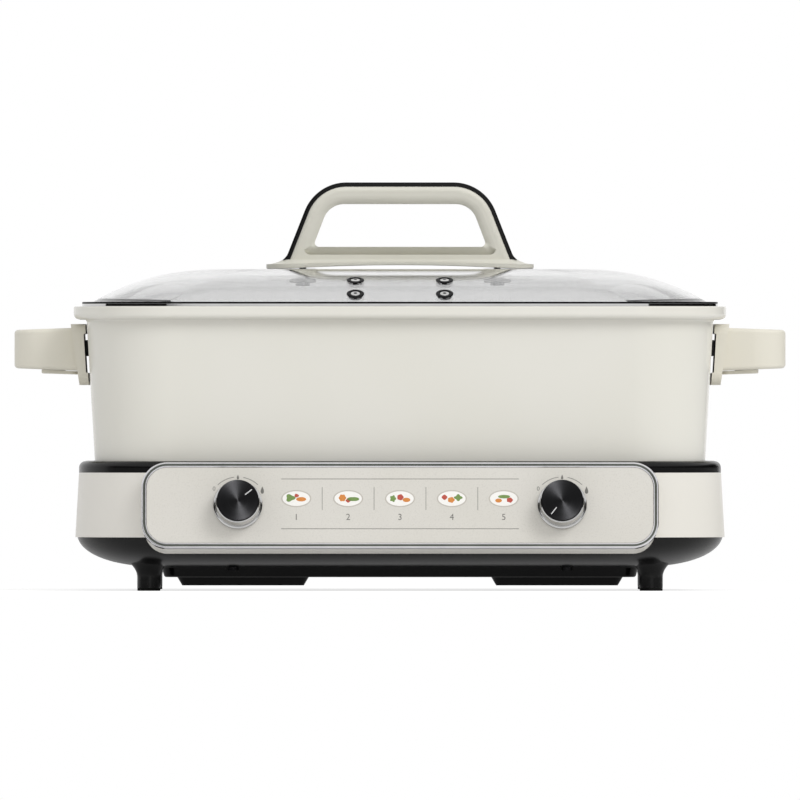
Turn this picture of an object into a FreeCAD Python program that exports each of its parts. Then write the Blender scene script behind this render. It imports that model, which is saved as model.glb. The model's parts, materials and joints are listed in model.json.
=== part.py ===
import FreeCAD, Part
import math
import os
import re
import Sketcher

# Electric hot pot: a heated base on four feet, a lift-out rectangular pan with two side handles and a
# lift-off glass lid.  Millimetres.  X runs along the pan, the control panel faces -Y, Z is up and the
# feet stand on Z = 0.  Sizes below are measured from the pan's own centre line; every piece is then
# moved back by centre_shift, so that the origin is the middle of the whole object's footprint.

Vector = FreeCAD.Vector
TOLERANCE = 1e-3

DRIVING_SIZES = [
    # pan
    ("pan_long", 365.0),
    ("pan_wide", 237.8),
    ("pan_corner", 43.0),
    ("pan_high", 100.4),
    ("pan_draft", 3.33),
    ("pan_wall", 3.0),
    ("pan_floor", 4.0),
    ("pan_gap", 2.0),
    ("pan_sink", 7.7),
    ("pan_outer_round", 4.0),
    ("pan_inner_round", 11.0),
    ("lip_thick", 7.7),
    ("lip_reach", 7.7),
    ("lip_round", 3.4),
    ("lip_top_round", 1.5),
    # base: bottom shell, band and top frame, from the feet up
    ("belly_edge", 27.2),
    ("belly_drop", 12.8),
    ("belly_inset", 31.0),
    ("belly_round", 6.5),
    ("shell_edge", 4.9),
    ("shell_inset", 1.3),
    ("shell_wall", 2.6),
    ("sump_inset", 21.4),
    ("sump_deep", 6.3),
    ("sump_round", 3.0),
    ("sump_draft", 20.0),
    ("foot_inset", 42.9),
    ("foot_radius", 7.0),
    ("foot_flare", 4.0),
    ("foot_flare_high", 5.4),
    ("foot_lift", 1.5),
    ("foot_pad_radius", 5.5),
    ("foot_pad_thick", 3.0),
    ("cover_margin", 46.8),
    ("cover_long", 79.0),
    ("cover_wide", 112.0),
    ("cover_deep", 5.1),
    ("cover_draft", 3.0),
    ("cover_wall", 1.6),
    ("cover_slot", 4.0),
    ("cover_slot_pitch", 10.0),
    ("cover_slot_count", 6.0),
    ("band_high", 38.7),
    ("band_wall", 3.0),
    ("band_flare", 2.2),
    ("frame_side", 10.0),
    ("frame_front", 11.6),
    ("frame_corner", 17.0),
    ("frame_high", 6.9),
    ("frame_round", 4.0),
    ("deck_thick", 3.0),
    ("base_screw_x", 100.0),
    ("base_screw_inset", 41.8),
    ("base_screw_radius", 1.75),
    ("base_screw_head", 3.4),
    ("base_screw_head_thick", 2.2),
    ("base_screw_bite", 11.0),
    ("screw_end_gap", 1.0),
    ("boss_radius", 4.5),
    # heating deck
    ("plate_thick", 6.0),
    ("plate_margin", 12.5),
    ("plate_gap", 20.0),
    ("plate_front", 33.9),
    ("plate_corner", 20.0),
    ("plate_ledge", 5.0),
    ("tube_radius", 3.5),
    ("tube_side", 30.0),
    ("tube_end", 23.0),
    ("tube_bend", 26.0),
    ("tube_tail", 13.0),
    ("tube_tail_bend", 8.0),
    ("bush_radius", 5.5),
    ("bush_long", 7.0),
    ("bush_setback", 1.0),
    ("shield_lift", 5.9),
    ("shield_margin", 19.5),
    ("shield_sheet", 1.0),
    ("cutout_radius", 8.0),
    ("cutout_thick", 8.0),
    ("cutout_room", 4.5),
    ("well_radius", 15.0),
    ("cup_radius", 12.0),
    ("cup_wall", 2.0),
    ("cup_drop", 1.0),
    ("plunger_cap", 8.0),
    ("plunger_bevel", 1.2),
    ("plunger_stem", 3.0),
    ("stem_room", 4.5),
    ("spring_radius", 6.6),
    ("spring_wire", 0.8),
    ("spring_turns", 4.0),
    # control panel
    ("panel_tilt", 12.0),
    ("panel_rise", 19.35),
    ("panel_stand", 13.4),
    ("panel_long", 303.0),
    ("panel_high", 46.2),
    ("panel_corner", 12.3),
    ("panel_thick", 3.0),
    ("trim_width", 3.1),
    ("trim_proud", 0.5),
    ("trim_bevel", 0.8),
    ("housing_inset", 2.0),
    ("housing_drop", 1.9),
    ("housing_wall", 2.5),
    ("housing_sill", 7.6),
    ("window_margin", 8.6),
    ("window_drop", 16.85),
    ("window_rise", 16.55),
    ("knob_inset", 54.6),
    ("knob_base_radius", 14.75),
    ("knob_neck_radius", 13.1),
    ("knob_face_radius", 12.6),
    ("knob_height", 14.4),
    ("knob_foot", 1.8),
    ("knob_bevel", 1.2),
    ("knob_rim", 0.8),
    ("knob_cap_thick", 1.6),
    ("shaft_radius", 3.0),
    ("shaft_bite", 9.0),
    ("shaft_end_gap", 1.0),
    ("shaft_hole_gap", 1.0),
    ("switch_radius", 12.5),
    ("switch_deep", 14.0),
    ("switch_neck", 5.0),
    ("mark_half", 0.5),
    ("mark_start", 5.4),
    ("mark_end", 10.8),
    ("mark_left", 52.0),
    ("mark_right", 218.0),
    # power inlet
    ("inlet_inset", 22.5),
    ("inlet_rise", 14.8),
    ("inlet_long", 33.0),
    ("inlet_high", 25.0),
    ("inlet_deep", 24.0),
    ("inlet_mouth_long", 24.6),
    ("inlet_mouth_high", 17.0),
    ("inlet_mouth_deep", 17.0),
    ("inlet_flange", 5.0),
    ("pin_wide", 4.0),
    ("pin_thick", 2.0),
    ("pin_long", 13.0),
    ("pin_pitch", 7.0),
    ("pin_rise", 2.0),
    # side handles
    ("bracket_rise", 75.5),
    ("bracket_high", 9.6),
    ("bracket_wide", 72.0),
    ("bracket_thick", 1.8),
    ("bracket_gap", 0.6),
    ("bracket_boss_radius", 4.5),
    ("bracket_boss_long", 4.0),
    ("flange_rise", 14.4),
    ("flange_drop", 22.2),
    ("flange_gap", 1.2),
    ("flange_proud", 2.1),
    ("flange_lean", 5.3),
    ("flange_wide", 116.0),
    ("flange_corner", 7.2),
    ("flange_recess_rise", 9.0),
    ("flange_recess_drop", 15.3),
    ("grip_sink", 1.0),
    ("grip_out", 36.0),
    ("grip_wide", 104.0),
    ("grip_root_rise", 12.3),
    ("grip_root_drop", 13.7),
    ("grip_tip_rise", 10.9),
    ("grip_tip_drop", 12.1),
    ("grip_corner", 20.0),
    ("grip_round", 2.4),
    ("channel_wall", 3.6),
    ("channel_end_wall", 10.3),
    ("channel_corner", 4.8),
    ("channel_out", 19.8),
    ("channel_room", 1.5),
    ("grip_cover_thick", 4.0),
    ("grip_cover_drop", 2.2),
    ("handle_screw_y", 22.0),
    ("handle_screw_radius", 2.0),
    ("handle_screw_head", 4.0),
    ("handle_screw_head_thick", 2.4),
    # lid
    ("lid_inset", 4.9),
    ("rim_sheet", 0.6),
    ("rim_wall", 0.8),
    ("rim_high", 1.6),
    ("rim_inner", 9.8),
    ("rim_collar_inset", 7.4),
    ("rim_collar_thick", 0.8),
    ("rim_collar_deep", 5.5),
    ("glass_edge_inset", 1.6),
    ("glass_edge_high", 1.7),
    ("glass_flange", 5.9),
    ("glass_rise", 20.2),
    ("glass_slope", 31.0),
    ("glass_thick", 3.4),
    ("glass_crown_corner", 34.0),
    ("bead_high", 1.1),
    ("fit_gap", 0.1),
    ("vent_x", 26.7),
    ("vent_lower_inset", 14.6),
    ("vent_upper_inset", 34.2),
    ("vent_radius", 5.3),
    ("vent_neck", 3.9),
    ("vent_bore", 2.2),
    ("vent_flange", 1.2),
    ("drill_reach", 15.0),
    # lid handle
    ("foot_plate_gap", 0.4),
    ("foot_plate_high", 5.5),
    ("foot_plate_end", 1.6),
    ("foot_plate_side", 2.5),
    ("foot_plate_end_slope", 9.9),
    ("foot_plate_side_slope", 3.5),
    ("foot_plate_corner", 17.5),
    ("foot_plate_top_corner", 13.0),
    ("foot_arch_half", 44.0),
    ("foot_arch_rise", 2.6),
    ("arch_high", 46.4),
    ("arch_top_half", 50.6),
    ("arch_seat_half", 68.9),
    ("arch_corner", 27.0),
    ("arch_wide", 25.0),
    ("arch_round", 4.0),
    ("arch_bevel", 4.6),
    ("arch_bridge", 13.0),
    ("arch_sill", 7.6),
    ("arch_leg_top", 8.0),
    ("arch_leg_foot", 16.5),
    ("strip_thick", 2.3),
    ("strip_inset", 3.0),
    ("strip_flare", 1.5),
    ("strip_flare_high", 3.6),
    ("hole_corner", 13.0),
    ("hole_low_corner", 2.6),
    ("lid_screw_inset", 10.4),
    ("lid_screw_radius", 2.0),
    ("lid_screw_head", 4.2),
    ("lid_screw_head_thick", 2.4),
    ("lid_screw_bite", 9.0),
    ("washer_radius", 8.0),
    ("washer_thick", 1.2),
    ("screw_play", 0.4),
]

# Sizes that follow from the driving ones, as formulas of them and of each other.
DERIVED_SIZES = {
    # heights above the feet
    "shell_top": "belly_edge + shell_edge",
    "band_top": "shell_top + band_high",
    "frame_top": "band_top + frame_high",
    "pan_bottom": "frame_top - pan_sink",
    "deck_top": "pan_bottom - plate_thick",
    "belly_floor": "belly_edge - belly_drop",
    "inner_floor": "belly_floor + shell_wall",
    "sump_bottom": "belly_floor - sump_deep",
    "cover_bottom": "sump_bottom - cover_deep",
    "foot_neck": "belly_floor - foot_flare_high",
    "shield_bottom": "shell_top + shield_lift",
    "shield_floor": "shield_bottom + shield_sheet",
    "cup_top": "deck_top - cup_drop",
    "cap_top": "pan_bottom - 3 * fit_gap",
    "cap_low": "cap_top - plunger_cap",
    "stem_end": "shield_floor + stem_room",
    "tube_mid": "deck_top - tube_radius - fit_gap / 2",
    "tube_low": "tube_mid - tube_tail - tube_tail_bend",
    "panel_mid": "shell_top + panel_rise",
    "window_low": "panel_mid - window_drop",
    "window_high": "panel_mid + window_rise",
    "inlet_z": "shell_top + inlet_rise",
    "lip_top": "pan_bottom + pan_high",
    "lip_bottom": "lip_top - lip_thick",
    "bracket_mid": "pan_bottom + bracket_rise",
    "flange_top": "bracket_mid + flange_rise",
    "flange_bottom": "bracket_mid - flange_drop",
    "grip_root_top": "bracket_mid + grip_root_rise",
    "grip_root_bottom": "bracket_mid - grip_root_drop",
    "grip_tip_top": "bracket_mid + grip_tip_rise",
    "grip_tip_bottom": "bracket_mid - grip_tip_drop",
    "grip_cover_bottom": "grip_root_bottom - grip_cover_drop",
    "channel_top": "bracket_mid + handle_screw_head + channel_room",
    "rim_top": "lip_top + rim_high",
    "rim_collar_low": "lip_top - rim_collar_deep",
    "glass_seat": "lip_top + rim_sheet",
    "glass_edge_top": "glass_seat + glass_edge_high",
    "glass_crown": "glass_edge_top + glass_rise",
    "glass_under": "glass_crown - glass_thick",
    "plate_foot_z": "glass_crown + foot_plate_gap",
    "handle_seat": "plate_foot_z + foot_plate_high",
    "arch_top": "handle_seat + arch_high",
    "hole_top": "arch_top - arch_bridge",
    "hole_bottom": "handle_seat + arch_sill",
    # outlines seen from above
    "wall_spread": "(lip_bottom - pan_bottom) * tan(pan_draft)",
    "rim_spread": "wall_spread + lip_reach",
    "rim_long": "pan_long + 2 * rim_spread",
    "rim_wide": "pan_wide + 2 * rim_spread",
    "rim_corner": "pan_corner + rim_spread",
    "mouth_spread": "(lip_top - pan_bottom) * tan(pan_draft) - pan_wall",
    "mouth_long": "pan_long + 2 * mouth_spread",
    "mouth_wide": "pan_wide + 2 * mouth_spread",
    "mouth_corner": "pan_corner + mouth_spread",
    "lid_long": "rim_long - 2 * lid_inset",
    "lid_wide": "rim_wide - 2 * lid_inset",
    "lid_corner": "rim_corner - lid_inset",
    "crown_inset": "glass_flange + glass_rise / tan(glass_slope / 2)",
    "glass_bend": "glass_rise / (tan(glass_slope / 2) * sin(glass_slope))",
    "base_long": "pan_long + 2 * frame_side",
    "base_wide": "pan_wide + 2 * frame_front",
    "base_corner": "pan_corner + frame_corner",
    "shell_long": "base_long + 2 * band_flare - 2 * shell_inset",
    "shell_wide": "base_wide + 2 * band_flare - 2 * shell_inset",
    "shell_corner": "base_corner + band_flare - shell_inset",
    "belly_slope": "atan(belly_inset / belly_drop)",
    # places and lengths along X and Y
    "foot_x": "shell_long / 2 - foot_inset",
    "foot_y": "shell_wide / 2 - foot_inset",
    "cover_x": "shell_long / 2 - belly_inset - sump_inset - cover_margin",
    "base_screw_y": "shell_wide / 2 - base_screw_inset",
    "plate_long": "(pan_long - plate_gap) / 2 - plate_margin",
    "plate_wide": "pan_wide - 2 * plate_front",
    "plate_x": "(plate_gap + plate_long) / 2",
    "tube_half_span": "plate_long / 2 - tube_side",
    "tube_half_run": "plate_wide / 2 - tube_end",
    "cutout_y": "tube_half_run - tube_radius - cutout_room - cutout_radius",
    "shield_long": "base_long - 2 * shield_margin",
    "shield_wide": "2 * (base_screw_y - boss_radius - fit_gap)",
    "cap_radius": "cup_radius - cup_wall - fit_gap",
    "knob_x": "panel_long / 2 - knob_inset",
    "knob_gap": "4 * fit_gap",
    "window_half": "knob_x + switch_radius + window_margin",
    "inlet_x": "base_long / 2 - base_corner - inlet_inset",
    "bracket_root": "pan_long / 2 + (bracket_mid + bracket_boss_radius - pan_bottom) * tan(pan_draft)",
    "bracket_face": "bracket_root + bracket_thick + bracket_boss_long",
    "flange_reach_top": "rim_long / 2 + flange_proud",
    "flange_reach_bottom": "flange_reach_top - flange_lean",
    "grip_end": "rim_long / 2 + grip_out",
    "channel_start": "flange_reach_top + channel_wall",
    "channel_end": "rim_long / 2 + channel_out",
    "channel_wide": "grip_wide - 2 * channel_end_wall",
    "foot_plate_top_long": "2 * arch_seat_half + 2 * foot_plate_end",
    "foot_plate_top_wide": "arch_wide + 2 * foot_plate_side",
    "foot_plate_long": "foot_plate_top_long + 2 * foot_plate_end_slope",
    "foot_plate_wide": "foot_plate_top_wide + 2 * foot_plate_side_slope",
    "hole_top_half": "arch_top_half - arch_leg_top",
    "hole_bottom_half": "arch_seat_half - arch_leg_foot",
    "strip_wide": "arch_wide - 2 * strip_inset",
    "lid_screw_x": "arch_seat_half - lid_screw_inset",
    # how far the front and the back reach from the pan's centre line, and the shift that centres them
    "knob_reach": "knob_height * cos(panel_tilt) + knob_face_radius * sin(panel_tilt)",
    "front_reach": "base_wide / 2 + panel_stand + knob_reach",
    "rear_reach": "max(base_wide / 2 + band_flare; rim_wide / 2)",
    "centre_shift": "(front_reach - rear_reach) / 2",
}

doc = FreeCAD.newDocument("HotPot")
sheet = doc.addObject("Spreadsheet::Sheet", "Sizes")
for row, (alias, value) in enumerate(DRIVING_SIZES, 1):
    sheet.set("A%d" % row, alias)
    sheet.set("B%d" % row, str(value))
    sheet.setAlias("B%d" % row, alias)
doc.recompute()

ALIASES = re.compile(r"\b(%s)\b" % "|".join(name for name, _ in DRIVING_SIZES))
DERIVED = re.compile(r"\b(%s)\b" % "|".join(DERIVED_SIZES))
NODES = []


# ---- sizes -------------------------------------------------------------------------------------------

def formula(text):
    """The text with its derived sizes written out and the sheet's name before every alias."""
    while DERIVED.search(text):
        text = DERIVED.sub(lambda found: "(%s)" % DERIVED_SIZES[found.group(1)], text)
    return ALIASES.sub(r"Sizes.\1", text)


def size(text):
    """The number that a formula of aliases has now."""
    result = sheet.evalExpression(formula(text))
    return float(getattr(result, "Value", result))


def bind(item, prop, text):
    """Ties one property of an object to a formula of aliases."""
    item.setExpression(prop, formula(text))


# ---- bodies, sketches and features -------------------------------------------------------------------

def place(item, x="0", y="0", z="0", axis=(0, 0, 1), turn="0"):
    """Binds an object's place, with y counted from the pan's centre line, and its turn about an axis."""
    item.Placement = FreeCAD.Placement(Vector(0, 0, 0), FreeCAD.Rotation(Vector(*axis), 1))
    bind(item, "Placement.Base.x", x)
    bind(item, "Placement.Base.y", y + " + centre_shift")
    bind(item, "Placement.Base.z", z)
    bind(item, "Placement.Rotation.Angle", turn)
    return item


def new_body(label, **where):
    """An empty body that becomes one node."""
    body = doc.addObject("PartDesign::Body", label)
    NODES.append(body)
    return place(body, **where)


def panel_body(label, x="0"):
    """A body whose X runs along the control panel, Y up it and Z straight out of it."""
    where = dict(x=x, y="-(base_wide / 2 + panel_stand)", z="panel_mid")
    return new_body(label, axis=(1, 0, 0), turn="90 - panel_tilt", **where)


def new_sketch(body, plane="XY_Plane", level="0"):
    """A sketch on one of the body's own planes, moved along the plane's normal by level."""
    sketch = body.newObject("Sketcher::SketchObject", body.Name + "_sketch")
    sketch.AttachmentSupport = [(next(f for f in body.Origin.OriginFeatures if f.Role == plane), "")]
    sketch.MapMode = "FlatFace"
    bind(sketch, "AttachmentOffset.Base.z", level)
    return sketch


def drive(sketch, kind, geometry, text):
    """Adds one sketch dimension and binds it to a formula."""
    index = sketch.addConstraint(Sketcher.Constraint(kind, *geometry, size(text)))
    bind(sketch, "Constraints[%d]" % index, text)


def draw_rounded(sketch, long, wide, corner, x="0", y="0"):
    """A rectangle with four round corners, centred on (x, y)."""
    half_x, half_y, round_by = size(long) / 2, size(wide) / 2, size(corner)
    mid_x, mid_y = size(x), size(y)
    first = sketch.GeometryCount
    corners = [(1, -1), (1, 1), (-1, 1), (-1, -1)]
    straight_x, straight_y = half_x - round_by, half_y - round_by
    middles = [Vector(mid_x + a * straight_x, mid_y + b * straight_y, 0) for a, b in corners]
    outward = [Vector(0, -1, 0), Vector(1, 0, 0), Vector(0, 1, 0), Vector(-1, 0, 0)]
    for side in range(4):
        start, end = middles[side - 1], middles[side]
        sketch.addGeometry(Part.LineSegment(start + outward[side] * round_by, end + outward[side] * round_by))
    for side in range(4):
        circle = Part.Circle(middles[side], Vector(0, 0, 1), round_by)
        angle = math.radians(90 * side - 90)
        sketch.addGeometry(Part.ArcOfCircle(circle, angle, angle + math.pi / 2))
    for side in range(4):
        line, arc, following = first + side, first + 4 + side, first + (side + 1) % 4
        sketch.addConstraint(Sketcher.Constraint("Tangent", line, 2, arc, 1))
        sketch.addConstraint(Sketcher.Constraint("Tangent", arc, 2, following, 1))
        sketch.addConstraint(Sketcher.Constraint("Vertical" if side % 2 else "Horizontal", line))
        if side:
            sketch.addConstraint(Sketcher.Constraint("Equal", first + 4, arc))
    for arc, sign in ((first + 5, "+"), (first + 7, "-")):
        drive(sketch, "DistanceX", (arc, 3), "(%s) %s ((%s) / 2 - (%s))" % (x, sign, long, corner))
        drive(sketch, "DistanceY", (arc, 3), "(%s) %s ((%s) / 2 - (%s))" % (y, sign, wide, corner))
    drive(sketch, "Radius", (first + 4,), corner)
    return sketch


def draw_outline(sketch, points):
    """Straight lines through points, each a pair of formulas, closed back to the first."""
    first = sketch.GeometryCount
    places = [Vector(size(x), size(y), 0) for x, y in points]
    count = len(points)
    for index in range(count):
        sketch.addGeometry(Part.LineSegment(places[index], places[(index + 1) % count]))
    for index in range(count):
        following = first + (index + 1) % count
        sketch.addConstraint(Sketcher.Constraint("Coincident", first + index, 2, following, 1))
    for index, (x, y) in enumerate(points):
        drive(sketch, "DistanceX", (first + index, 1), x)
        drive(sketch, "DistanceY", (first + index, 1), y)
    return sketch


def draw_low_arch(sketch, half, level, rise):
    """A flat arch over a level chord, centred on the sketch's own axis."""
    radius = "(({0})^2 + ({1})^2) / (2 * ({1}))".format(half, rise)
    reach, z, bend = size(half), size(level), size(radius)
    middle = Vector(0, z + size(rise) - bend, 0)
    spring = math.asin(reach / bend)
    sketch.addGeometry(Part.LineSegment(Vector(-reach, z, 0), Vector(reach, z, 0)))
    sketch.addGeometry(Part.ArcOfCircle(Part.Circle(middle, Vector(0, 0, 1), bend),
                                        math.pi / 2 - spring, math.pi / 2 + spring))
    sketch.addConstraint(Sketcher.Constraint("Coincident", 0, 2, 1, 1))
    sketch.addConstraint(Sketcher.Constraint("Coincident", 1, 2, 0, 1))
    for end, sign in ((1, "-"), (2, "")):
        drive(sketch, "DistanceX", (0, end), sign + half)
        drive(sketch, "DistanceY", (0, end), level)
    drive(sketch, "Radius", (1,), radius)
    return sketch


def draw_circles(sketch, radius, centres):
    """Equal circles at centres, each a pair of formulas."""
    for x, y in centres:
        index = sketch.addGeometry(Part.Circle(Vector(size(x), size(y), 0), Vector(0, 0, 1), size(radius)))
        drive(sketch, "DistanceX", (index, 3), x)
        drive(sketch, "DistanceY", (index, 3), y)
        drive(sketch, "Radius", (index,), radius)
    return sketch


def extrude(body, kind, sketch, length, down=False, draft="0", both=False):
    """A Pad or Pocket of a sketch; down sends it against the sketch's normal."""
    feature = body.newObject("PartDesign::" + kind, "%s_%s" % (body.Name, kind))
    feature.Profile = sketch
    bind(feature, "Length", length)
    feature.Midplane = both
    feature.Reversed = (not down) if kind == "Pocket" else down
    if draft != "0":
        bind(feature, "TaperAngle", draft)
    doc.recompute()
    return feature


def pad(body, sketch, length, **how):
    """Adds the sketch's prism to the body."""
    return extrude(body, "Pad", sketch, length, **how)


def pocket(body, sketch, length, **how):
    """Cuts the sketch's prism out of the body, and makes sure that it removed something."""
    before = body.Shape.Volume
    feature = extrude(body, "Pocket", sketch, length, **how)
    if not feature.Shape.Volume < before - TOLERANCE:
        raise ValueError("%s removes nothing" % feature.Name)
    return feature


def revolve(body, points):
    """Turns an outline of (radius, height) formulas about the body's own Z axis."""
    sketch = draw_outline(new_sketch(body, "XZ_Plane"), points)
    feature = body.newObject("PartDesign::Revolution", body.Name + "_turned")
    feature.Profile = sketch
    feature.ReferenceAxis = (sketch, ["V_Axis"])
    feature.Angle = 360
    doc.recompute()
    return feature


def edges_where(shape, wanted):
    """Names of a shape's edges whose bounding box satisfies a test."""
    return ["Edge%d" % index for index, edge in enumerate(shape.Edges, 1) if wanted(edge.BoundBox)]


def level_edges(shape, z):
    """Names of the edges that lie wholly at one height."""
    return edges_where(shape, lambda box: abs(box.ZMin - z) < TOLERANCE and abs(box.ZMax - z) < TOLERANCE)


def round_edges(body, names, radius, kind="Fillet"):
    """Fillets or chamfers named edges of the body's last feature."""
    base = body.Tip
    feature = body.newObject("PartDesign::" + kind, "%s_%s" % (body.Name, kind))
    feature.Base = (base, names)
    bind(feature, "Radius" if kind == "Fillet" else "Size", radius)
    doc.recompute()
    return feature


def four_corners(x, y):
    """The four places (+-x, +-y) as pairs of formulas."""
    return [("%s(%s)" % (a, x), "%s(%s)" % (b, y)) for a in ("", "-") for b in ("", "-")]


def group(label, items):
    """One node that holds several like solids."""
    compound = doc.addObject("Part::Compound", label)
    compound.Links = items
    NODES.append(place(compound))
    return compound


def cylinder(name, radius, length, x="0", y="0", z="0"):
    """An upright cylinder whose foot is at (x, y, z) in its group."""
    item = doc.addObject("Part::Cylinder", name)
    for prop, text in (("Radius", radius), ("Height", length)):
        bind(item, prop, text)
    for letter, text in (("x", x), ("y", y), ("z", z)):
        bind(item, "Placement.Base." + letter, text)
    return item


def lying_cylinder(name, radius, length, x, y, z, side):
    """A cylinder that points along X, away from the middle on the side whose sign is given."""
    item = cylinder(name, radius, length, x, y, z)
    item.Placement.Rotation = FreeCAD.Rotation(Vector(0, 0, 1), Vector(-1 if side else 1, 0, 0))
    return item


def cut(name, base, tool):
    """The base with the tool taken away."""
    item = doc.addObject("Part::Cut", name)
    item.Base = base
    item.Tool = tool
    return item


def fuse(name, base, tool):
    """Two primitives as one solid."""
    item = doc.addObject("Part::Fuse", name)
    item.Base = base
    item.Tool = tool
    return item


def own_shape(label, shape, **where):
    """A node whose shape is worked out in code, placed after its shape is set."""
    item = doc.addObject("Part::Feature", label)
    item.Shape = shape
    NODES.append(item)
    return place(item, **where)


# ---- shared outlines ---------------------------------------------------------------------------------

SHELL = ("shell_long", "shell_wide", "shell_corner")
FRAME = ("base_long", "base_wide", "base_corner")
BAND_FOOT = ("(base_long + 2 * band_flare)", "(base_wide + 2 * band_flare)", "(base_corner + band_flare)")
PAN = ("pan_long", "pan_wide", "pan_corner")
RIM = ("rim_long", "rim_wide", "rim_corner")
MOUTH = ("mouth_long", "mouth_wide", "mouth_corner")
LID = ("lid_long", "lid_wide", "lid_corner")


def inset_rounded(sketch, outline, inset):
    """Draws a (long, wide, corner) outline moved inwards by one distance all round."""
    long, wide, corner = outline
    return draw_rounded(sketch, "%s - 2 * (%s)" % (long, inset), "%s - 2 * (%s)" % (wide, inset),
                        "%s - (%s)" % (corner, inset))



# ---- base --------------------------------------------------------------------------------------------

def make_bottom_shell():
    """Moulded belly: an upright edge, a shallow funnel, a sump, four flared foot posts, all one wall."""
    body = new_body("base_bottom_shell")
    inside = "(belly_edge + shell_wall / sin(belly_slope) - shell_wall / tan(belly_slope))"
    pad(body, inset_rounded(new_sketch(body, level="belly_edge"), SHELL, "0"), "shell_edge")
    pad(body, inset_rounded(new_sketch(body, level="belly_edge"), SHELL, "0"), "belly_drop",
        down=True, draft="-belly_slope")
    round_edges(body, level_edges(body.Tip.Shape, size("belly_edge")), "belly_round")
    pad(body, inset_rounded(new_sketch(body, level="belly_floor"), SHELL, "belly_inset + sump_inset"),
        "sump_deep", down=True, draft="-sump_draft")
    round_edges(body, level_edges(body.Tip.Shape, size("sump_bottom")), "sump_round")
    feet = four_corners("foot_x", "foot_y")
    pad(body, draw_circles(new_sketch(body, level="foot_neck"), "foot_radius", feet),
        "inner_floor - foot_neck", draft="atan(foot_flare / (inner_floor - foot_neck))")
    pad(body, draw_circles(new_sketch(body, level="foot_neck"), "foot_radius", feet),
        "foot_neck - foot_lift", down=True)
    pocket(body, draw_circles(new_sketch(body, level="foot_lift"), "foot_pad_radius + fit_gap / 2", feet),
           "foot_pad_thick - foot_lift")
    pocket(body, inset_rounded(new_sketch(body, level="shell_top"), SHELL, "shell_wall"),
           "shell_top - " + inside, down=True)
    pocket(body, inset_rounded(new_sketch(body, level=inside), SHELL, "shell_wall"),
           inside + " - inner_floor", down=True, draft="-belly_slope")
    sump = "belly_inset + sump_inset + shell_wall"
    pocket(body, inset_rounded(new_sketch(body, level="inner_floor"), SHELL, sump),
           "inner_floor - sump_bottom - shell_wall", down=True, draft="-sump_draft")
    for side in ("-", ""):
        opening = draw_rounded(new_sketch(body, level="sump_bottom"), "cover_long - 4 * cover_wall",
                               "cover_wide - 4 * cover_wall", "cover_draft", x=side + "cover_x")
        pocket(body, opening, "shell_wall")
    pocket(body, draw_circles(new_sketch(body, level="belly_floor"), "base_screw_radius + fit_gap",
                              four_corners("base_screw_x", "base_screw_y")), "shell_wall")


def make_band():
    """Flared band with a window behind the controls and one for the power inlet."""
    body = new_body("base_band")
    draft = "-atan(band_flare / band_high)"
    for work, inset in ((pad, "0"), (pocket, "band_wall")):
        outline = inset_rounded(new_sketch(body, level="shell_top"), BAND_FOOT, inset)
        work(body, outline, "band_high", draft=draft)
    front = draw_outline(new_sketch(body, "XZ_Plane"), [
        ("-window_half", "window_low"), ("window_half", "window_low"),
        ("window_half", "window_high"), ("-window_half", "window_high")])
    pocket(body, front, "base_wide", down=False)
    back = draw_rounded(new_sketch(body, "XZ_Plane"), "inlet_long + 4 * fit_gap", "inlet_high + 4 * fit_gap",
                        "inlet_flange / 2", x="inlet_x", y="inlet_z")
    pocket(body, back, "base_wide", down=True)


def make_top_frame():
    """Ring round the pan's foot, with the deck that carries the heating plates and four screw bosses."""
    body = new_body("base_top_frame")
    inside = "band_wall + fit_gap"
    pad(body, inset_rounded(new_sketch(body, level="band_top"), FRAME, "0"), "frame_high")
    round_edges(body, level_edges(body.Tip.Shape, size("frame_top")), "frame_round")
    pad(body, inset_rounded(new_sketch(body, level="band_top"), FRAME, inside),
        "band_top - deck_top + deck_thick", down=True)
    pocket(body, inset_rounded(new_sketch(body, level="frame_top"), PAN, "-pan_gap"),
           "frame_top - deck_top", down=True)
    for side in ("-", ""):
        pocket(body, draw_rounded(new_sketch(body, level="deck_top"), "plate_long - 2 * plate_ledge",
                                  "plate_wide - 2 * plate_ledge", "plate_corner - plate_ledge",
                                  x=side + "plate_x"), "deck_thick", down=True)
    bosses = four_corners("base_screw_x", "base_screw_y")
    pad(body, draw_circles(new_sketch(body, level="inner_floor"), "boss_radius", bosses),
        "deck_top - deck_thick - inner_floor")
    bores = draw_circles(new_sketch(body, level="inner_floor"), "base_screw_radius + fit_gap / 2", bosses)
    pocket(body, bores, "base_screw_bite")


def make_foot_pads():
    """Four rubber pads let into the foot posts."""
    group("foot_pads", [cylinder("foot_pad_%d" % index, "foot_pad_radius", "foot_pad_thick", x, y)
                        for index, (x, y) in enumerate(four_corners("foot_x", "foot_y"))])


def make_base_screws():
    """Four screws from below through the shell into the frame's bosses."""
    screws = []
    for index, (x, y) in enumerate(four_corners("base_screw_x", "base_screw_y")):
        head = cylinder("base_screw_head_%d" % index, "base_screw_head", "base_screw_head_thick", x, y,
                        "belly_floor - base_screw_head_thick")
        shank = cylinder("base_screw_shank_%d" % index, "base_screw_radius",
                         "shell_wall + base_screw_bite - screw_end_gap", x, y, "belly_floor")
        screws.append(fuse("base_screw_%d" % index, head, shank))
    group("base_screws", screws)


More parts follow.
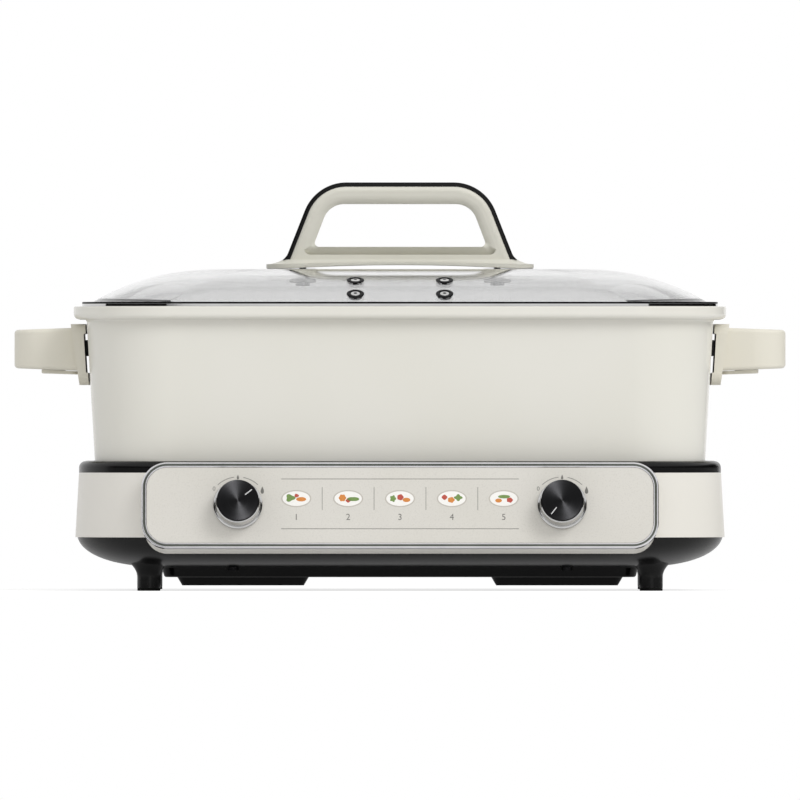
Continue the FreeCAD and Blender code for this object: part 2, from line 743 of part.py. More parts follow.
def make_vent_cover(name, side):
    """Tapered cover under the sump with a row of air slots."""
    body = new_body(name, x=side + "cover_x")
    draft = "-atan(cover_draft / cover_deep)"
    rim = draw_rounded(new_sketch(body, level="sump_bottom"), "cover_long", "cover_wide", "2 * cover_draft")
    pad(body, rim, "cover_deep", down=True, draft=draft)
    pocket(body, draw_rounded(new_sketch(body, level="sump_bottom"), "cover_long - 2 * cover_wall",
                              "cover_wide - 2 * cover_wall", "2 * cover_draft - cover_wall"),
           "cover_deep - cover_wall", down=True, draft=draft)
    slot = draw_rounded(new_sketch(body, level="cover_bottom"), "cover_slot", "cover_wide - 8 * cover_slot",
                        "cover_slot / 2 - fit_gap",
                        x="-cover_slot_pitch * (cover_slot_count - 1) / 2")
    first = pocket(body, slot, "cover_wall")
    pattern = body.newObject("PartDesign::LinearPattern", body.Name + "_slots")
    pattern.Originals = [first]
    pattern.Direction = (slot, ["H_Axis"])
    bind(pattern, "Length", "cover_slot_pitch * (cover_slot_count - 1)")
    bind(pattern, "Occurrences", "cover_slot_count")
    body.Tip = pattern
    doc.recompute()


def make_heater_plate(name, side):
    """Cast heating plate lying on the deck, with the well for the sensor."""
    body = new_body(name, x=side + "plate_x")
    pad(body, draw_rounded(new_sketch(body, level="deck_top"), "plate_long", "plate_wide", "plate_corner"),
        "plate_thick")
    pocket(body, draw_circles(new_sketch(body, level="deck_top"), "well_radius", [("0", "0")]), "plate_thick")


def bent_path(points, radii):
    """Straight runs through points, joined by tangent arcs of the given radii at the inner points."""
    edges = []
    start = points[0]
    for corner, radius, after in zip(points[1:-1], radii, points[2:]):
        arrive = (corner - start).normalize()
        leave = (after - corner).normalize()
        turn = arrive.getAngle(leave)
        cut_back = radius * math.tan(turn / 2)
        enter, depart = corner - arrive * cut_back, corner + leave * cut_back
        inward = (leave - arrive).normalize()
        crown = corner + inward * (radius / math.cos(turn / 2) - radius)
        edges.append(Part.LineSegment(start, enter).toShape())
        edges.append(Part.Arc(enter, crown, depart).toShape())
        start = depart
    edges.append(Part.LineSegment(start, points[-1]).toShape())
    return Part.Wire(edges)


def tube_along(path, radius):
    """A solid round bar along a path."""
    start = path.Edges[0]
    ring = Part.Circle(start.valueAt(start.FirstParameter), start.tangentAt(start.FirstParameter), radius)
    return path.makePipeShell([Part.Wire([ring.toShape()])], True, True)


def make_heater_tube(name, side):
    """Sheathed heating element: one hairpin under its plate, both tails turned down."""
    radius = size("tube_radius")
    z = size("tube_mid")
    low = size("tube_low")
    mid = size(side + "plate_x")
    span, run = size("tube_half_span"), size("tube_half_run")
    points = [Vector(mid - span, -run, low), Vector(mid - span, -run, z), Vector(mid - span, run, z),
              Vector(mid + span, run, z), Vector(mid + span, -run, z), Vector(mid + span, -run, low)]
    bend, tail = size("tube_bend"), size("tube_tail_bend")
    own_shape(name, tube_along(bent_path(points, [tail, bend, bend, tail]), radius))


def make_tube_bushes():
    """Ceramic bushes on the four tails of the heating elements."""
    bushes = []
    low = "tube_low + bush_setback"
    places = [(side + "plate_x " + edge + " tube_half_span", "-tube_half_run")
              for side in ("-", "") for edge in ("-", "+")]
    for index, (x, y) in enumerate(places):
        outer = cylinder("bush_outer_%d" % index, "bush_radius", "bush_long", x, y, low)
        bore = cylinder("bush_bore_%d" % index, "tube_radius + fit_gap / 2", "bush_long", x, y, low)
        bushes.append(cut("bush_%d" % index, outer, bore))
    group("tube_bushes", bushes)


def make_heat_shield():
    """Sheet tray hung under the deck between the elements and the shell."""
    body = new_body("heat_shield")
    top = "(deck_top - deck_thick)"
    corner = "plate_corner"
    pad(body, draw_rounded(new_sketch(body, level="shield_bottom"), "shield_long", "shield_wide", corner),
        top + " - shield_bottom")
    pocket(body, draw_rounded(new_sketch(body, level="shield_bottom + shield_sheet"),
                              "shield_long - 2 * shield_sheet", "shield_wide - 2 * shield_sheet",
                              corner + " - shield_sheet"), top + " - shield_bottom")


def make_cutouts():
    """Two thermal cut-outs, one pressed against the underside of each plate."""
    items = [cylinder("cutout_%d" % index, "cutout_radius", "cutout_thick", side + "plate_x", "cutout_y",
                      "deck_top - cutout_thick") for index, side in enumerate(("-", ""))]
    group("thermal_cutouts", items)


def coil_spring(rise):
    """A helix of eight-sided wire; the flats have the round wire's area, and each is one ruled face."""
    sides = 8
    radius, wire = size("spring_radius"), size("spring_wire")
    across = wire * math.sqrt(2 * math.pi / (sides * math.sin(2 * math.pi / sides)))
    corners = [2 * math.pi * (index + 0.5) / sides for index in range(sides + 1)]
    section = Part.makePolygon([Vector(radius + across * math.cos(angle), 0, across * math.sin(angle))
                                for angle in corners])
    helix = Part.makeHelix(rise / size("spring_turns"), rise, radius)
    return helix.makePipeShell([section], True, True)


def make_sensor(side_name, side):
    """Sprung temperature sensor in a plate's well: cup, spring, and plunger under the pan's floor."""
    where = dict(x=side + "plate_x")
    revolve(new_body("sensor_cup_" + side_name, **where), [
        ("0", "shield_floor"), ("cup_radius", "shield_floor"), ("cup_radius", "cup_top"),
        ("cup_radius - cup_wall", "cup_top"), ("cup_radius - cup_wall", "shield_floor + cup_wall"),
        ("0", "shield_floor + cup_wall")])
    plunger = new_body("sensor_plunger_" + side_name, **where)
    revolve(plunger, [
        ("0", "stem_end"), ("plunger_stem", "stem_end"), ("plunger_stem", "cap_low"),
        ("cap_radius", "cap_low"), ("cap_radius", "cap_top - plunger_bevel"),
        ("cap_radius - plunger_bevel", "cap_top"), ("0", "cap_top")])
    spring_low = "shield_floor + cup_wall + spring_wire"
    rise = size("cap_low - spring_wire - (%s)" % spring_low)
    own_shape("sensor_spring_" + side_name, coil_spring(rise), z=spring_low, **where)


# ---- control panel -----------------------------------------------------------------------------------

def panel_point(y, z):
    """A point of the pan's own frame as (height up the panel, height out of it), both formulas."""
    out = "((%s) + base_wide / 2 + panel_stand)" % y
    rise = "((%s) - panel_mid)" % z
    return ("%s * sin(panel_tilt) + %s * cos(panel_tilt)" % (out, rise),
            "%s * sin(panel_tilt) - %s * cos(panel_tilt)" % (rise, out))


def make_control_housing():
    """Hollow wedge behind the panel, cut to the slope of the band and cleared over the shell below it."""
    body = panel_body("control_housing")
    low = "-housing_drop / 2"
    outline = ("panel_long + 2 * trim_width - 2 * housing_inset",
               "panel_high + 2 * trim_width - 2 * housing_inset + housing_drop",
               "panel_corner + trim_width - housing_inset")
    front = "-panel_thick"
    deep = "(2 * panel_stand + band_wall)"
    pad(body, draw_rounded(new_sketch(body, level=front), *outline, y=low), deep, down=True)
    inner = (outline[0] + " - 2 * housing_wall", outline[1] + " - housing_wall - housing_sill",
             outline[2] + " - housing_wall")
    pocket(body, draw_rounded(new_sketch(body, level=front + " - housing_wall"), *inner,
                              y=low + " + (housing_sill - housing_wall) / 2"), deep, down=True)
    face_low = "-(base_wide / 2 + band_flare + fit_gap)"
    face_high = "-(base_wide / 2 + fit_gap)"
    back = [(face_low, "0"), (face_low, "shell_top"), (face_high, "band_top"), (face_high, "2 * frame_top"),
            ("base_wide / 2", "2 * frame_top"), ("base_wide / 2", "0")]
    pocket(body, draw_outline(new_sketch(body, "YZ_Plane"), [panel_point(y, z) for y, z in back]),
           "2 * base_long", both=True)
    holes = [("-knob_x", "0"), ("knob_x", "0")]
    pocket(body, draw_circles(new_sketch(body, level=front), "switch_neck + fit_gap", holes),
           "housing_wall", down=True)


def make_panel_trim():
    """Bright frame round the fascia."""
    body = panel_body("panel_trim")
    outer = ["panel_long + 2 * trim_width", "panel_high + 2 * trim_width", "panel_corner + trim_width"]
    deep = "(panel_thick + trim_proud)"
    pad(body, draw_rounded(new_sketch(body, level="-panel_thick"), *outer), deep)
    round_edges(body, level_edges(body.Tip.Shape, size("trim_proud")), "trim_bevel", "Chamfer")
    inner = draw_rounded(new_sketch(body, level="-panel_thick"), "panel_long", "panel_high", "panel_corner")
    pocket(body, inner, deep)


def make_fascia():
    """Flat panel plate inside the trim, with a hole for each switch shaft."""
    body = panel_body("panel_fascia")
    outline = ["panel_long - 2 * fit_gap", "panel_high - 2 * fit_gap", "panel_corner - fit_gap"]
    pad(body, draw_rounded(new_sketch(body, level="-panel_thick"), *outline), "panel_thick")
    places = [("-knob_x", "0"), ("knob_x", "0")]
    holes = draw_circles(new_sketch(body, level="-panel_thick"), "shaft_radius + shaft_hole_gap", places)
    pocket(body, holes, "panel_thick")


def make_switch(name, side):
    """Rotary heat switch screwed behind the housing's front wall."""
    body = panel_body(name, x=side + "knob_x")
    wall_back = "-(panel_thick + housing_wall)"
    revolve(body, [
        ("0", wall_back + " - switch_deep"), ("switch_radius", wall_back + " - switch_deep"),
        ("switch_radius", wall_back), ("switch_neck", wall_back), ("switch_neck", "-panel_thick"),
        ("0", "-panel_thick")])
    pocket(body, draw_circles(new_sketch(body, level="-panel_thick"), "shaft_radius + fit_gap", [("0", "0")]),
           "shaft_bite", down=True)


def mark_outline(angle, extra="0"):
    """The bar that points at a setting, turned clockwise from the top by an angle."""
    half = "(mark_half + %s)" % extra
    corners = [("mark_start - " + extra, "-" + half), ("mark_end + " + extra, "-" + half),
               ("mark_end + " + extra, half), ("mark_start - " + extra, half)]
    return [("(%s) * sin(%s) + %s * cos(%s)" % (along, angle, across, angle),
             "(%s) * cos(%s) - %s * sin(%s)" % (along, angle, across, angle)) for along, across in corners]


def make_knob(side_name, side, angle):
    """Knob on its shaft: tapered metal skirt, turned face cap and the inlaid mark."""
    x = side + "knob_x"
    cap_low = "(knob_height - knob_cap_thick)"
    cap_edge = "(knob_face_radius - knob_rim)"
    skirt = panel_body("knob_%s_skirt" % side_name, x=x)
    revolve(skirt, [
        ("0", "knob_gap"), ("knob_base_radius", "knob_gap"), ("knob_base_radius", "knob_gap + knob_foot"),
        ("knob_neck_radius", "knob_height - knob_bevel"), ("knob_face_radius", "knob_height"),
        (cap_edge, "knob_height"), (cap_edge, cap_low), ("0", cap_low)])
    bore = draw_circles(new_sketch(skirt, level="knob_gap"), "shaft_radius + fit_gap / 2", [("0", "0")])
    pocket(skirt, bore, "shaft_bite")
    cap = panel_body("knob_%s_cap" % side_name, x=x)
    pad(cap, draw_circles(new_sketch(cap, level=cap_low), cap_edge + " - fit_gap / 2", [("0", "0")]),
        "knob_cap_thick - 2 * fit_gap")
    slot_low = "knob_height - 2 * fit_gap - knob_cap_thick / 2"
    slot = draw_outline(new_sketch(cap, level=slot_low), mark_outline(angle, "fit_gap / 2"))
    pocket(cap, slot, "knob_cap_thick")
    mark = panel_body("knob_%s_mark" % side_name, x=x)
    pad(mark, draw_outline(new_sketch(mark, level=slot_low), mark_outline(angle)), "knob_cap_thick / 2")
    shaft = panel_body("knob_%s_shaft" % side_name, x=x)
    foot = "(shaft_end_gap - panel_thick - shaft_bite)"
    pad(shaft, draw_circles(new_sketch(shaft, level=foot), "shaft_radius", [("0", "0")]),
        "knob_gap + shaft_bite - " + foot)


# ---- power inlet -------------------------------------------------------------------------------------

def make_inlet():
    """Recessed power inlet behind its window in the back of the band, with three flat pins."""
    body = new_body("power_inlet", x="inlet_x", y="base_wide / 2 - inlet_deep", z="inlet_z")
    half = "inlet_flange / 2"
    pad(body, draw_rounded(new_sketch(body, "XZ_Plane"), "inlet_long", "inlet_high", half + " - fit_gap"),
        "inlet_deep", down=True)
    stop = "-(inlet_deep - band_wall - band_flare - %s)" % half
    flange = draw_rounded(new_sketch(body, "XZ_Plane", stop), "inlet_long + 2 * inlet_flange",
                          "inlet_high + " + half, half)
    pad(body, flange, half, down=True)
    mouth = draw_rounded(new_sketch(body, "XZ_Plane", "-inlet_deep"), "inlet_mouth_long", "inlet_mouth_high",
                         "inlet_flange / 2")
    pocket(body, mouth, "inlet_mouth_deep", down=False)
    pins = []
    floor = "base_wide / 2 - inlet_mouth_deep"
    places = (("-pin_pitch", "-pin_rise"), ("0", "pin_rise"), ("pin_pitch", "-pin_rise"))
    for index, (x, z) in enumerate(places):
        pin = doc.addObject("Part::Box", "inlet_pin_%d" % index)
        for prop, text in (("Length", "pin_thick"), ("Width", "pin_long"), ("Height", "pin_wide")):
            bind(pin, prop, text)
        bind(pin, "Placement.Base.x", "inlet_x + %s - pin_thick / 2" % x)
        bind(pin, "Placement.Base.y", floor)
        bind(pin, "Placement.Base.z", "inlet_z + %s - pin_wide / 2" % z)
        pins.append(pin)
    group("inlet_pins", pins)


# ---- pan and side handles ----------------------------------------------------------------------------

def make_pan():
    """Deep cast pan with drafted walls and a thick turned-out lip."""
    body = new_body("pot_pan")
    pad(body, inset_rounded(new_sketch(body, level="pan_bottom"), PAN, "0"), "pan_high", draft="pan_draft")
    round_edges(body, level_edges(body.Tip.Shape, size("pan_bottom")), "pan_outer_round")
    pad(body, inset_rounded(new_sketch(body, level="lip_bottom"), RIM, "0"), "lip_thick")
    low = size("lip_bottom")
    round_edges(body, edges_where(body.Tip.Shape, lambda box: abs(box.ZMin - low) < TOLERANCE
                                  and abs(box.ZMax - low) < TOLERANCE and is_outer_lip(box)), "lip_round")
    round_edges(body, level_edges(body.Tip.Shape, size("lip_top")), "lip_top_round")
    pocket(body, inset_rounded(new_sketch(body, level="lip_top"), MOUTH, "0"), "pan_high - pan_floor",
           down=True, draft="-pan_draft")
    round_edges(body, level_edges(body.Tip.Shape, size("pan_bottom + pan_floor")), "pan_inner_round")


def is_outer_lip(box):
    """True for an edge that reaches the lip's outline, not the neck below it."""
    reach_x = max(abs(box.XMin), abs(box.XMax))
    reach_y = max(abs(box.YMin), abs(box.YMax))
    return abs(reach_x - size("rim_long") / 2) < TOLERANCE or abs(reach_y - size("rim_wide") / 2) < TOLERANCE


def wall_reach(z, gap="0"):
    """How far the pan's end wall stands from the middle at one height, plus a gap."""
    return "pan_long / 2 + ((%s) - pan_bottom) * tan(pan_draft) + %s" % (z, gap)


SCREW_PLACES = [("-handle_screw_y", "bracket_mid"), ("handle_screw_y", "bracket_mid")]


def make_bracket(side_name, turn):
    """Sheet bracket on the pan's end wall, with two threaded bosses for the handle's screws."""
    body = new_body("handle_bracket_" + side_name, turn=turn)
    low, high = "bracket_mid - bracket_high / 2", "bracket_mid + bracket_high / 2"
    profile = [(wall_reach(low), low), (wall_reach(low, "bracket_thick"), low),
               (wall_reach(high, "bracket_thick"), high), (wall_reach(high), high)]
    pad(body, draw_outline(new_sketch(body, "XZ_Plane"), profile), "bracket_wide", both=True)
    pad(body, draw_circles(new_sketch(body, "YZ_Plane", "bracket_root"), "bracket_boss_radius", SCREW_PLACES),
        "bracket_thick + bracket_boss_long")
    threads = draw_circles(new_sketch(body, "YZ_Plane", "bracket_face"), "handle_screw_radius + fit_gap / 2",
                           SCREW_PLACES)
    pocket(body, threads, "bracket_boss_long", down=True)


def make_grip(side_name, turn):
    """Moulded lug with its foot plate, hollowed from below, let over the bracket and its bosses."""
    body = new_body("side_handle_" + side_name, turn=turn)
    flange = [(wall_reach("flange_bottom", "flange_gap"), "flange_bottom"),
              ("flange_reach_bottom", "flange_bottom"), ("flange_reach_top", "flange_top"),
              (wall_reach("flange_top", "flange_gap"), "flange_top")]
    pad(body, draw_outline(new_sketch(body, "XZ_Plane"), flange), "flange_wide", both=True)
    along_x = edges_where(body.Tip.Shape, lambda box: box.YMax - box.YMin < TOLERANCE
                          and box.ZMax - box.ZMin < TOLERANCE)
    round_edges(body, along_x, "flange_corner")
    root = "flange_reach_bottom - grip_sink"
    lug = [(root, "grip_root_bottom"), ("grip_end", "grip_tip_bottom"), ("grip_end", "grip_tip_top"),
           (root, "grip_root_top")]
    pad(body, draw_outline(new_sketch(body, "XZ_Plane"), lug), "grip_wide", both=True)
    end = size("grip_end")
    at_end = lambda box: abs(box.XMin - end) < TOLERANCE and abs(box.XMax - end) < TOLERANCE
    upright = edges_where(body.Tip.Shape, lambda box: at_end(box) and box.YMax - box.YMin < TOLERANCE)
    round_edges(body, upright, "grip_corner")
    level = edges_where(body.Tip.Shape, lambda box: at_end(box) and box.ZMax - box.ZMin < TOLERANCE)
    round_edges(body, level, "grip_round")
    low, high = "bracket_mid - flange_recess_drop", "bracket_mid + flange_recess_rise"
    deep = "bracket_thick + bracket_gap"
    recess = [(wall_reach(low), low), (wall_reach(low, deep), low + " + bracket_gap"),
              (wall_reach(high, deep), high + " - bracket_gap"), (wall_reach(high), high)]
    pocket(body, draw_outline(new_sketch(body, "XZ_Plane"), recess), "2 * flange_wide", both=True)
    sockets = draw_circles(new_sketch(body, "YZ_Plane", "bracket_root"), "bracket_boss_radius + bracket_gap",
                           SCREW_PLACES)
    pocket(body, sockets, "bracket_thick + bracket_boss_long + bracket_gap")
    pocket(body, channel_outline(body, "grip_cover_bottom", "0"), "channel_top - grip_cover_bottom")
    bores = draw_circles(new_sketch(body, "YZ_Plane", "bracket_face"), "handle_screw_radius + screw_play / 2",
                         SCREW_PLACES)
    pocket(body, bores, "channel_start - bracket_face")


def channel_outline(body, level, gap):
    """The outline of the hollow under the lug, moved inwards by a gap."""
    return draw_rounded(new_sketch(body, level=level), "channel_end - channel_start - 2 * " + gap,
                        "channel_wide - 2 * " + gap, "channel_corner - " + gap,
                        x="(channel_end + channel_start) / 2")


def make_grip_cover(side_name, turn):
    """Cover plate that closes the hollow under the lug."""
    body = new_body("side_handle_cover_" + side_name, turn=turn)
    pad(body, channel_outline(body, "grip_cover_bottom", "fit_gap"), "grip_cover_thick")
    round_edges(body, level_edges(body.Tip.Shape, size("grip_cover_bottom")), "grip_round / 2")


def make_handle_screws():
    """Two screws a side, from the hollow of each lug into the bosses of its bracket."""
    screws = []
    for side, tip in (("-", "-bracket_root"), ("", "bracket_root")):
        for index, y in enumerate(("-handle_screw_y", "handle_screw_y")):
            name = "%s_%d" % ("left" if side else "right", index)
            head = lying_cylinder("handle_screw_head_" + name, "handle_screw_head", "handle_screw_head_thick",
                                  side + "channel_start", y, "bracket_mid", side)
            start = tip + " %s (bracket_thick + screw_end_gap)" % (side or "+")
            shank = lying_cylinder("handle_screw_shank_" + name, "handle_screw_radius",
                                   "channel_start - bracket_root - bracket_thick - screw_end_gap",
                                   start, y, "bracket_mid", side)
            screws.append(fuse("handle_screw_" + name, head, shank))
    group("handle_screws", screws)


# ---- lid ---------------------------------------------------------------------------------------------

def make_lid_rim():
    """Steel rim: a flat ring on the pan's lip, an upright outer wall and a collar inside the mouth."""
    body = new_body("lid_rim")
    pad(body, inset_rounded(new_sketch(body, level="lip_top"), LID, "0"), "rim_high")
    pocket(body, inset_rounded(new_sketch(body, level="glass_seat"), LID, "rim_wall"), "rim_high")
    pad(body, inset_rounded(new_sketch(body, level="rim_collar_low"), LID, "rim_collar_inset"),
        "glass_seat - rim_collar_low")
    collar = "rim_collar_inset + rim_collar_thick"
    pocket(body, inset_rounded(new_sketch(body, level="rim_collar_low"), LID, collar), "rim_collar_deep")
    pocket(body, inset_rounded(new_sketch(body, level="rim_collar_low"), LID, "rim_inner"),
           "rim_top - rim_collar_low")


DOME_STEPS = 6


def rounded_wire(long, wide, corner, z):
    """A round-cornered rectangle as a wire at one height."""
    arcs = []
    for quarter in range(4):
        start = quarter * math.pi / 2
        right = 1 if quarter in (0, 3) else -1
        back = 1 if quarter < 2 else -1
        circle = Part.Circle(Vector(right * (long / 2 - corner), back * (wide / 2 - corner), z),
                             Vector(0, 0, 1), corner)
        arcs.append(Part.ArcOfCircle(circle, start, start + math.pi / 2))
    edges = []
    for arc, following in zip(arcs, arcs[1:] + arcs[:1]):
        edges.append(arc.toShape())
        edges.append(Part.LineSegment(arc.EndPoint, following.StartPoint).toShape())
    return Part.Wire(edges)


def dome(thick, low):
    """Solid under the dome's arc, or under the face that lies thick below it, from low to the flat crown."""
    bend = size("glass_bend") - thick
    top = size("glass_crown") - thick
    steepest = math.acos(1 - (top - low) / bend)
    long, wide, corner = (size(text) for text in LID)
    flange, crown_inset = size("glass_flange"), size("crown_inset")
    flattening = (corner - flange - size("glass_crown_corner")) / (crown_inset - flange)
    wires = []
    for step in range(DOME_STEPS + 1):
        angle = steepest * (1 - step / DOME_STEPS)
        inset = crown_inset - bend * math.sin(angle)
        round_by = corner - flange - flattening * (inset - flange)
        z = top - bend * (1 - math.cos(angle))
        wires.append(rounded_wire(long - 2 * inset, wide - 2 * inset, round_by, z))
    return Part.makeLoft(wires, True, False)


def make_lid_glass():
    """Tempered glass: a flat edge on the rim, one arc up to a flat crown, drilled for vents and handle."""
    seat, edge_top, inset = size("glass_seat"), size("glass_edge_top"), size("glass_edge_inset")
    long, wide, corner = (size(text) for text in LID)
    foot = Part.Face(rounded_wire(long - 2 * inset, wide - 2 * inset, corner - inset, seat))
    outer = foot.extrude(Vector(0, 0, edge_top - seat)).fuse(dome(0.0, edge_top))
    glass = outer.cut(dome(size("glass_thick"), seat))
    reach = size("drill_reach")
    bore = size("vent_neck + fit_gap")
    for base, axis in vent_places():
        glass = glass.cut(Part.makeCylinder(bore, 2 * reach, base - axis * reach, axis))
    for sign in (-1, 1):
        low = Vector(sign * size("lid_screw_x"), 0, size("plate_foot_z") - reach)
        glass = glass.cut(Part.makeCylinder(size("lid_screw_radius + 2 * screw_play"), 2 * reach, low))
    own_shape("lid_glass", glass)


def glass_height(inset):
    """Height and slope of the dome's upper face at an inset from the lid's outline."""
    bend = size("glass_bend")
    angle = math.asin((size("crown_inset") - inset) / bend)
    return size("glass_crown") - bend * (1 - math.cos(angle)), angle


def vent_places():
    """Point on the glass and outward axis of each of the four steam vents."""
    places = []
    for row in ("vent_lower_inset", "vent_upper_inset"):
        inset = size(row)
        z, slope = glass_height(inset)
        y = inset - size("lid_wide") / 2
        for sign in (-1, 1):
            places.append((Vector(sign * size("vent_x"), y, z), Vector(0, -math.sin(slope), math.cos(slope))))
    return places


def make_vents():
    """Steam vent grommets: a flange above and below the glass on one necked tube."""
    grommets = []
    flange, gap = size("vent_flange"), 3 * size("fit_gap")
    deep, reach = size("glass_thick"), size("drill_reach")
    for base, axis in vent_places():
        top = Part.makeCylinder(size("vent_radius"), flange, base + axis * gap, axis)
        neck = Part.makeCylinder(size("vent_neck"), deep + 2 * gap, base - axis * (deep + gap), axis)
        low = Part.makeCylinder(size("vent_radius"), flange, base - axis * (deep + gap + flange), axis)
        bore = Part.makeCylinder(size("vent_bore"), 2 * reach, base - axis * reach, axis)
        grommets.append(top.fuse(neck).fuse(low).cut(bore))
    own_shape("vent_grommets", Part.makeCompound(grommets))


def make_lid_bead():
    """Dark silicone seal: a foot between the steel rim and the glass edge, a flat band over both."""
    gap, wall, rim_top = size("fit_gap"), size("rim_wall"), size("rim_top")
    edge, seat, top = size("glass_edge_inset"), size("glass_seat"), size("glass_edge_top")
    inner, crest = size("glass_flange - fit_gap"), size("rim_top + bead_high")
    profile = [(wall + gap, seat + gap), (edge - gap, seat + gap), (edge - gap, top + gap),
               (inner, top + gap), (inner, crest), (gap, crest), (gap, rim_top + gap),
               (wall + gap, rim_top + gap)]
    long, wide, corner = (size(text) for text in LID)
    points = [Vector(0, inset - wide / 2, z) for inset, z in profile]
    section = Part.Wire(Part.makePolygon(points + points[:1]).Edges)
    spine = rounded_wire(long, wide, corner, rim_top)
    own_shape("lid_bead", spine.makePipeShell([section], True, False, 2))


def make_lid_handle():
    """Bridge handle: foot plate, arch with its D-shaped opening and the dark strip over its back."""
    plate = new_body("lid_handle_foot")
    low = draw_rounded(new_sketch(plate, level="plate_foot_z"), "foot_plate_long", "foot_plate_wide",
                       "foot_plate_corner")
    high = draw_rounded(new_sketch(plate, level="handle_seat"), "foot_plate_top_long", "foot_plate_top_wide",
                        "foot_plate_top_corner")
    loft = plate.newObject("PartDesign::AdditiveLoft", "lid_handle_foot_loft")
    loft.Profile = low
    loft.Sections = [high]
    doc.recompute()
    below = draw_low_arch(new_sketch(plate, "XZ_Plane"), "foot_arch_half", "plate_foot_z", "foot_arch_rise")
    pocket(plate, below, "2 * foot_plate_wide", both=True)
    screws = [("-lid_screw_x", "0"), ("lid_screw_x", "0")]
    holes = draw_circles(new_sketch(plate, level="plate_foot_z"), "lid_screw_radius + screw_play", screws)
    pocket(plate, holes, "foot_plate_high")

    slant = "(arch_seat_half - arch_top_half) / arch_high"
    side_inset = "strip_thick / cos(atan(%s))" % slant
    body_top = "(arch_top - strip_thick)"
    seat_half = "(arch_seat_half - %s)" % side_inset
    top_half = "(arch_top_half + strip_thick * %s - %s)" % (slant, side_inset)
    arch = new_body("lid_handle")
    pad(arch, draw_outline(new_sketch(arch, "XZ_Plane"), [
        ("-" + seat_half, "handle_seat"), (seat_half, "handle_seat"), (top_half, body_top),
        ("-" + top_half, body_top)]), "arch_wide", both=True)
    across = lambda box: box.XMax - box.XMin < TOLERANCE and box.ZMax - box.ZMin < TOLERANCE
    round_edges(arch, edges_where(arch.Tip.Shape, lambda box: across(box)
                                  and box.ZMin > size("hole_top")), "arch_corner - strip_thick")
    pocket(arch, draw_outline(new_sketch(arch, "XZ_Plane"), [
        ("-hole_bottom_half", "hole_bottom"), ("hole_bottom_half", "hole_bottom"),
        ("hole_top_half", "hole_top"), ("-hole_top_half", "hole_top")]), "2 * arch_wide", both=True)
    round_edges(arch, edges_where(arch.Tip.Shape, lambda box: across(box)
                                  and abs(box.ZMin - size("hole_top")) < TOLERANCE), "hole_corner")
    round_edges(arch, edges_where(arch.Tip.Shape, lambda box: across(box)
                                  and abs(box.ZMin - size("hole_bottom")) < TOLERANCE), "hole_low_corner")
    half = size("arch_wide") / 2
    seat, hole_reach = size("handle_seat"), size("hole_bottom_half")
    on_face = lambda box: abs(abs(box.YMin) - half) < TOLERANCE and box.YMax - box.YMin < TOLERANCE
    in_hole = lambda box: (max(abs(box.XMin), abs(box.XMax)) < hole_reach + TOLERANCE
                           and box.ZMax < size("hole_top") + TOLERANCE and box.ZMin > seat + TOLERANCE)
    round_edges(arch, edges_where(arch.Tip.Shape, lambda box: on_face(box) and in_hole(box)),
                "arch_bevel", "Chamfer")
    round_edges(arch, edges_where(arch.Tip.Shape, lambda box: on_face(box) and box.ZMax > seat + 1
                                  and not within_bevel(box)), "arch_round")
    bores = draw_circles(new_sketch(arch, level="handle_seat"), "lid_screw_radius + fit_gap / 2", screws)
    pocket(arch, bores, "lid_screw_bite")

    strip = new_body("lid_handle_strip")
    flare_half = "(arch_seat_half - strip_flare_high * %s)" % slant
    flare_top = "handle_seat + strip_flare_high"
    pad(strip, draw_outline(new_sketch(strip, "XZ_Plane"), [
        ("-(arch_seat_half + strip_flare)", "handle_seat"), ("arch_seat_half + strip_flare", "handle_seat"),
        (flare_half, flare_top), ("arch_top_half", "arch_top"), ("-arch_top_half", "arch_top"),
        ("-" + flare_half, flare_top)]), "strip_wide", both=True)
    round_edges(strip, edges_where(strip.Tip.Shape, lambda box: across(box)
                                   and box.ZMin > size("hole_top")), "arch_corner")
    core = new_sketch(strip, "XZ_Plane")
    tool = draw_arch_core(core, seat_half, top_half, body_top)
    pocket(strip, tool, "2 * arch_wide", both=True)


def within_bevel(box):
    """True for an edge of the arch's face that runs round the opening, bevel included."""
    reach = size("hole_bottom_half + arch_bevel") + 1
    top = size("hole_top + arch_bevel")
    return max(abs(box.XMin), abs(box.XMax)) < reach and box.ZMax < top + TOLERANCE


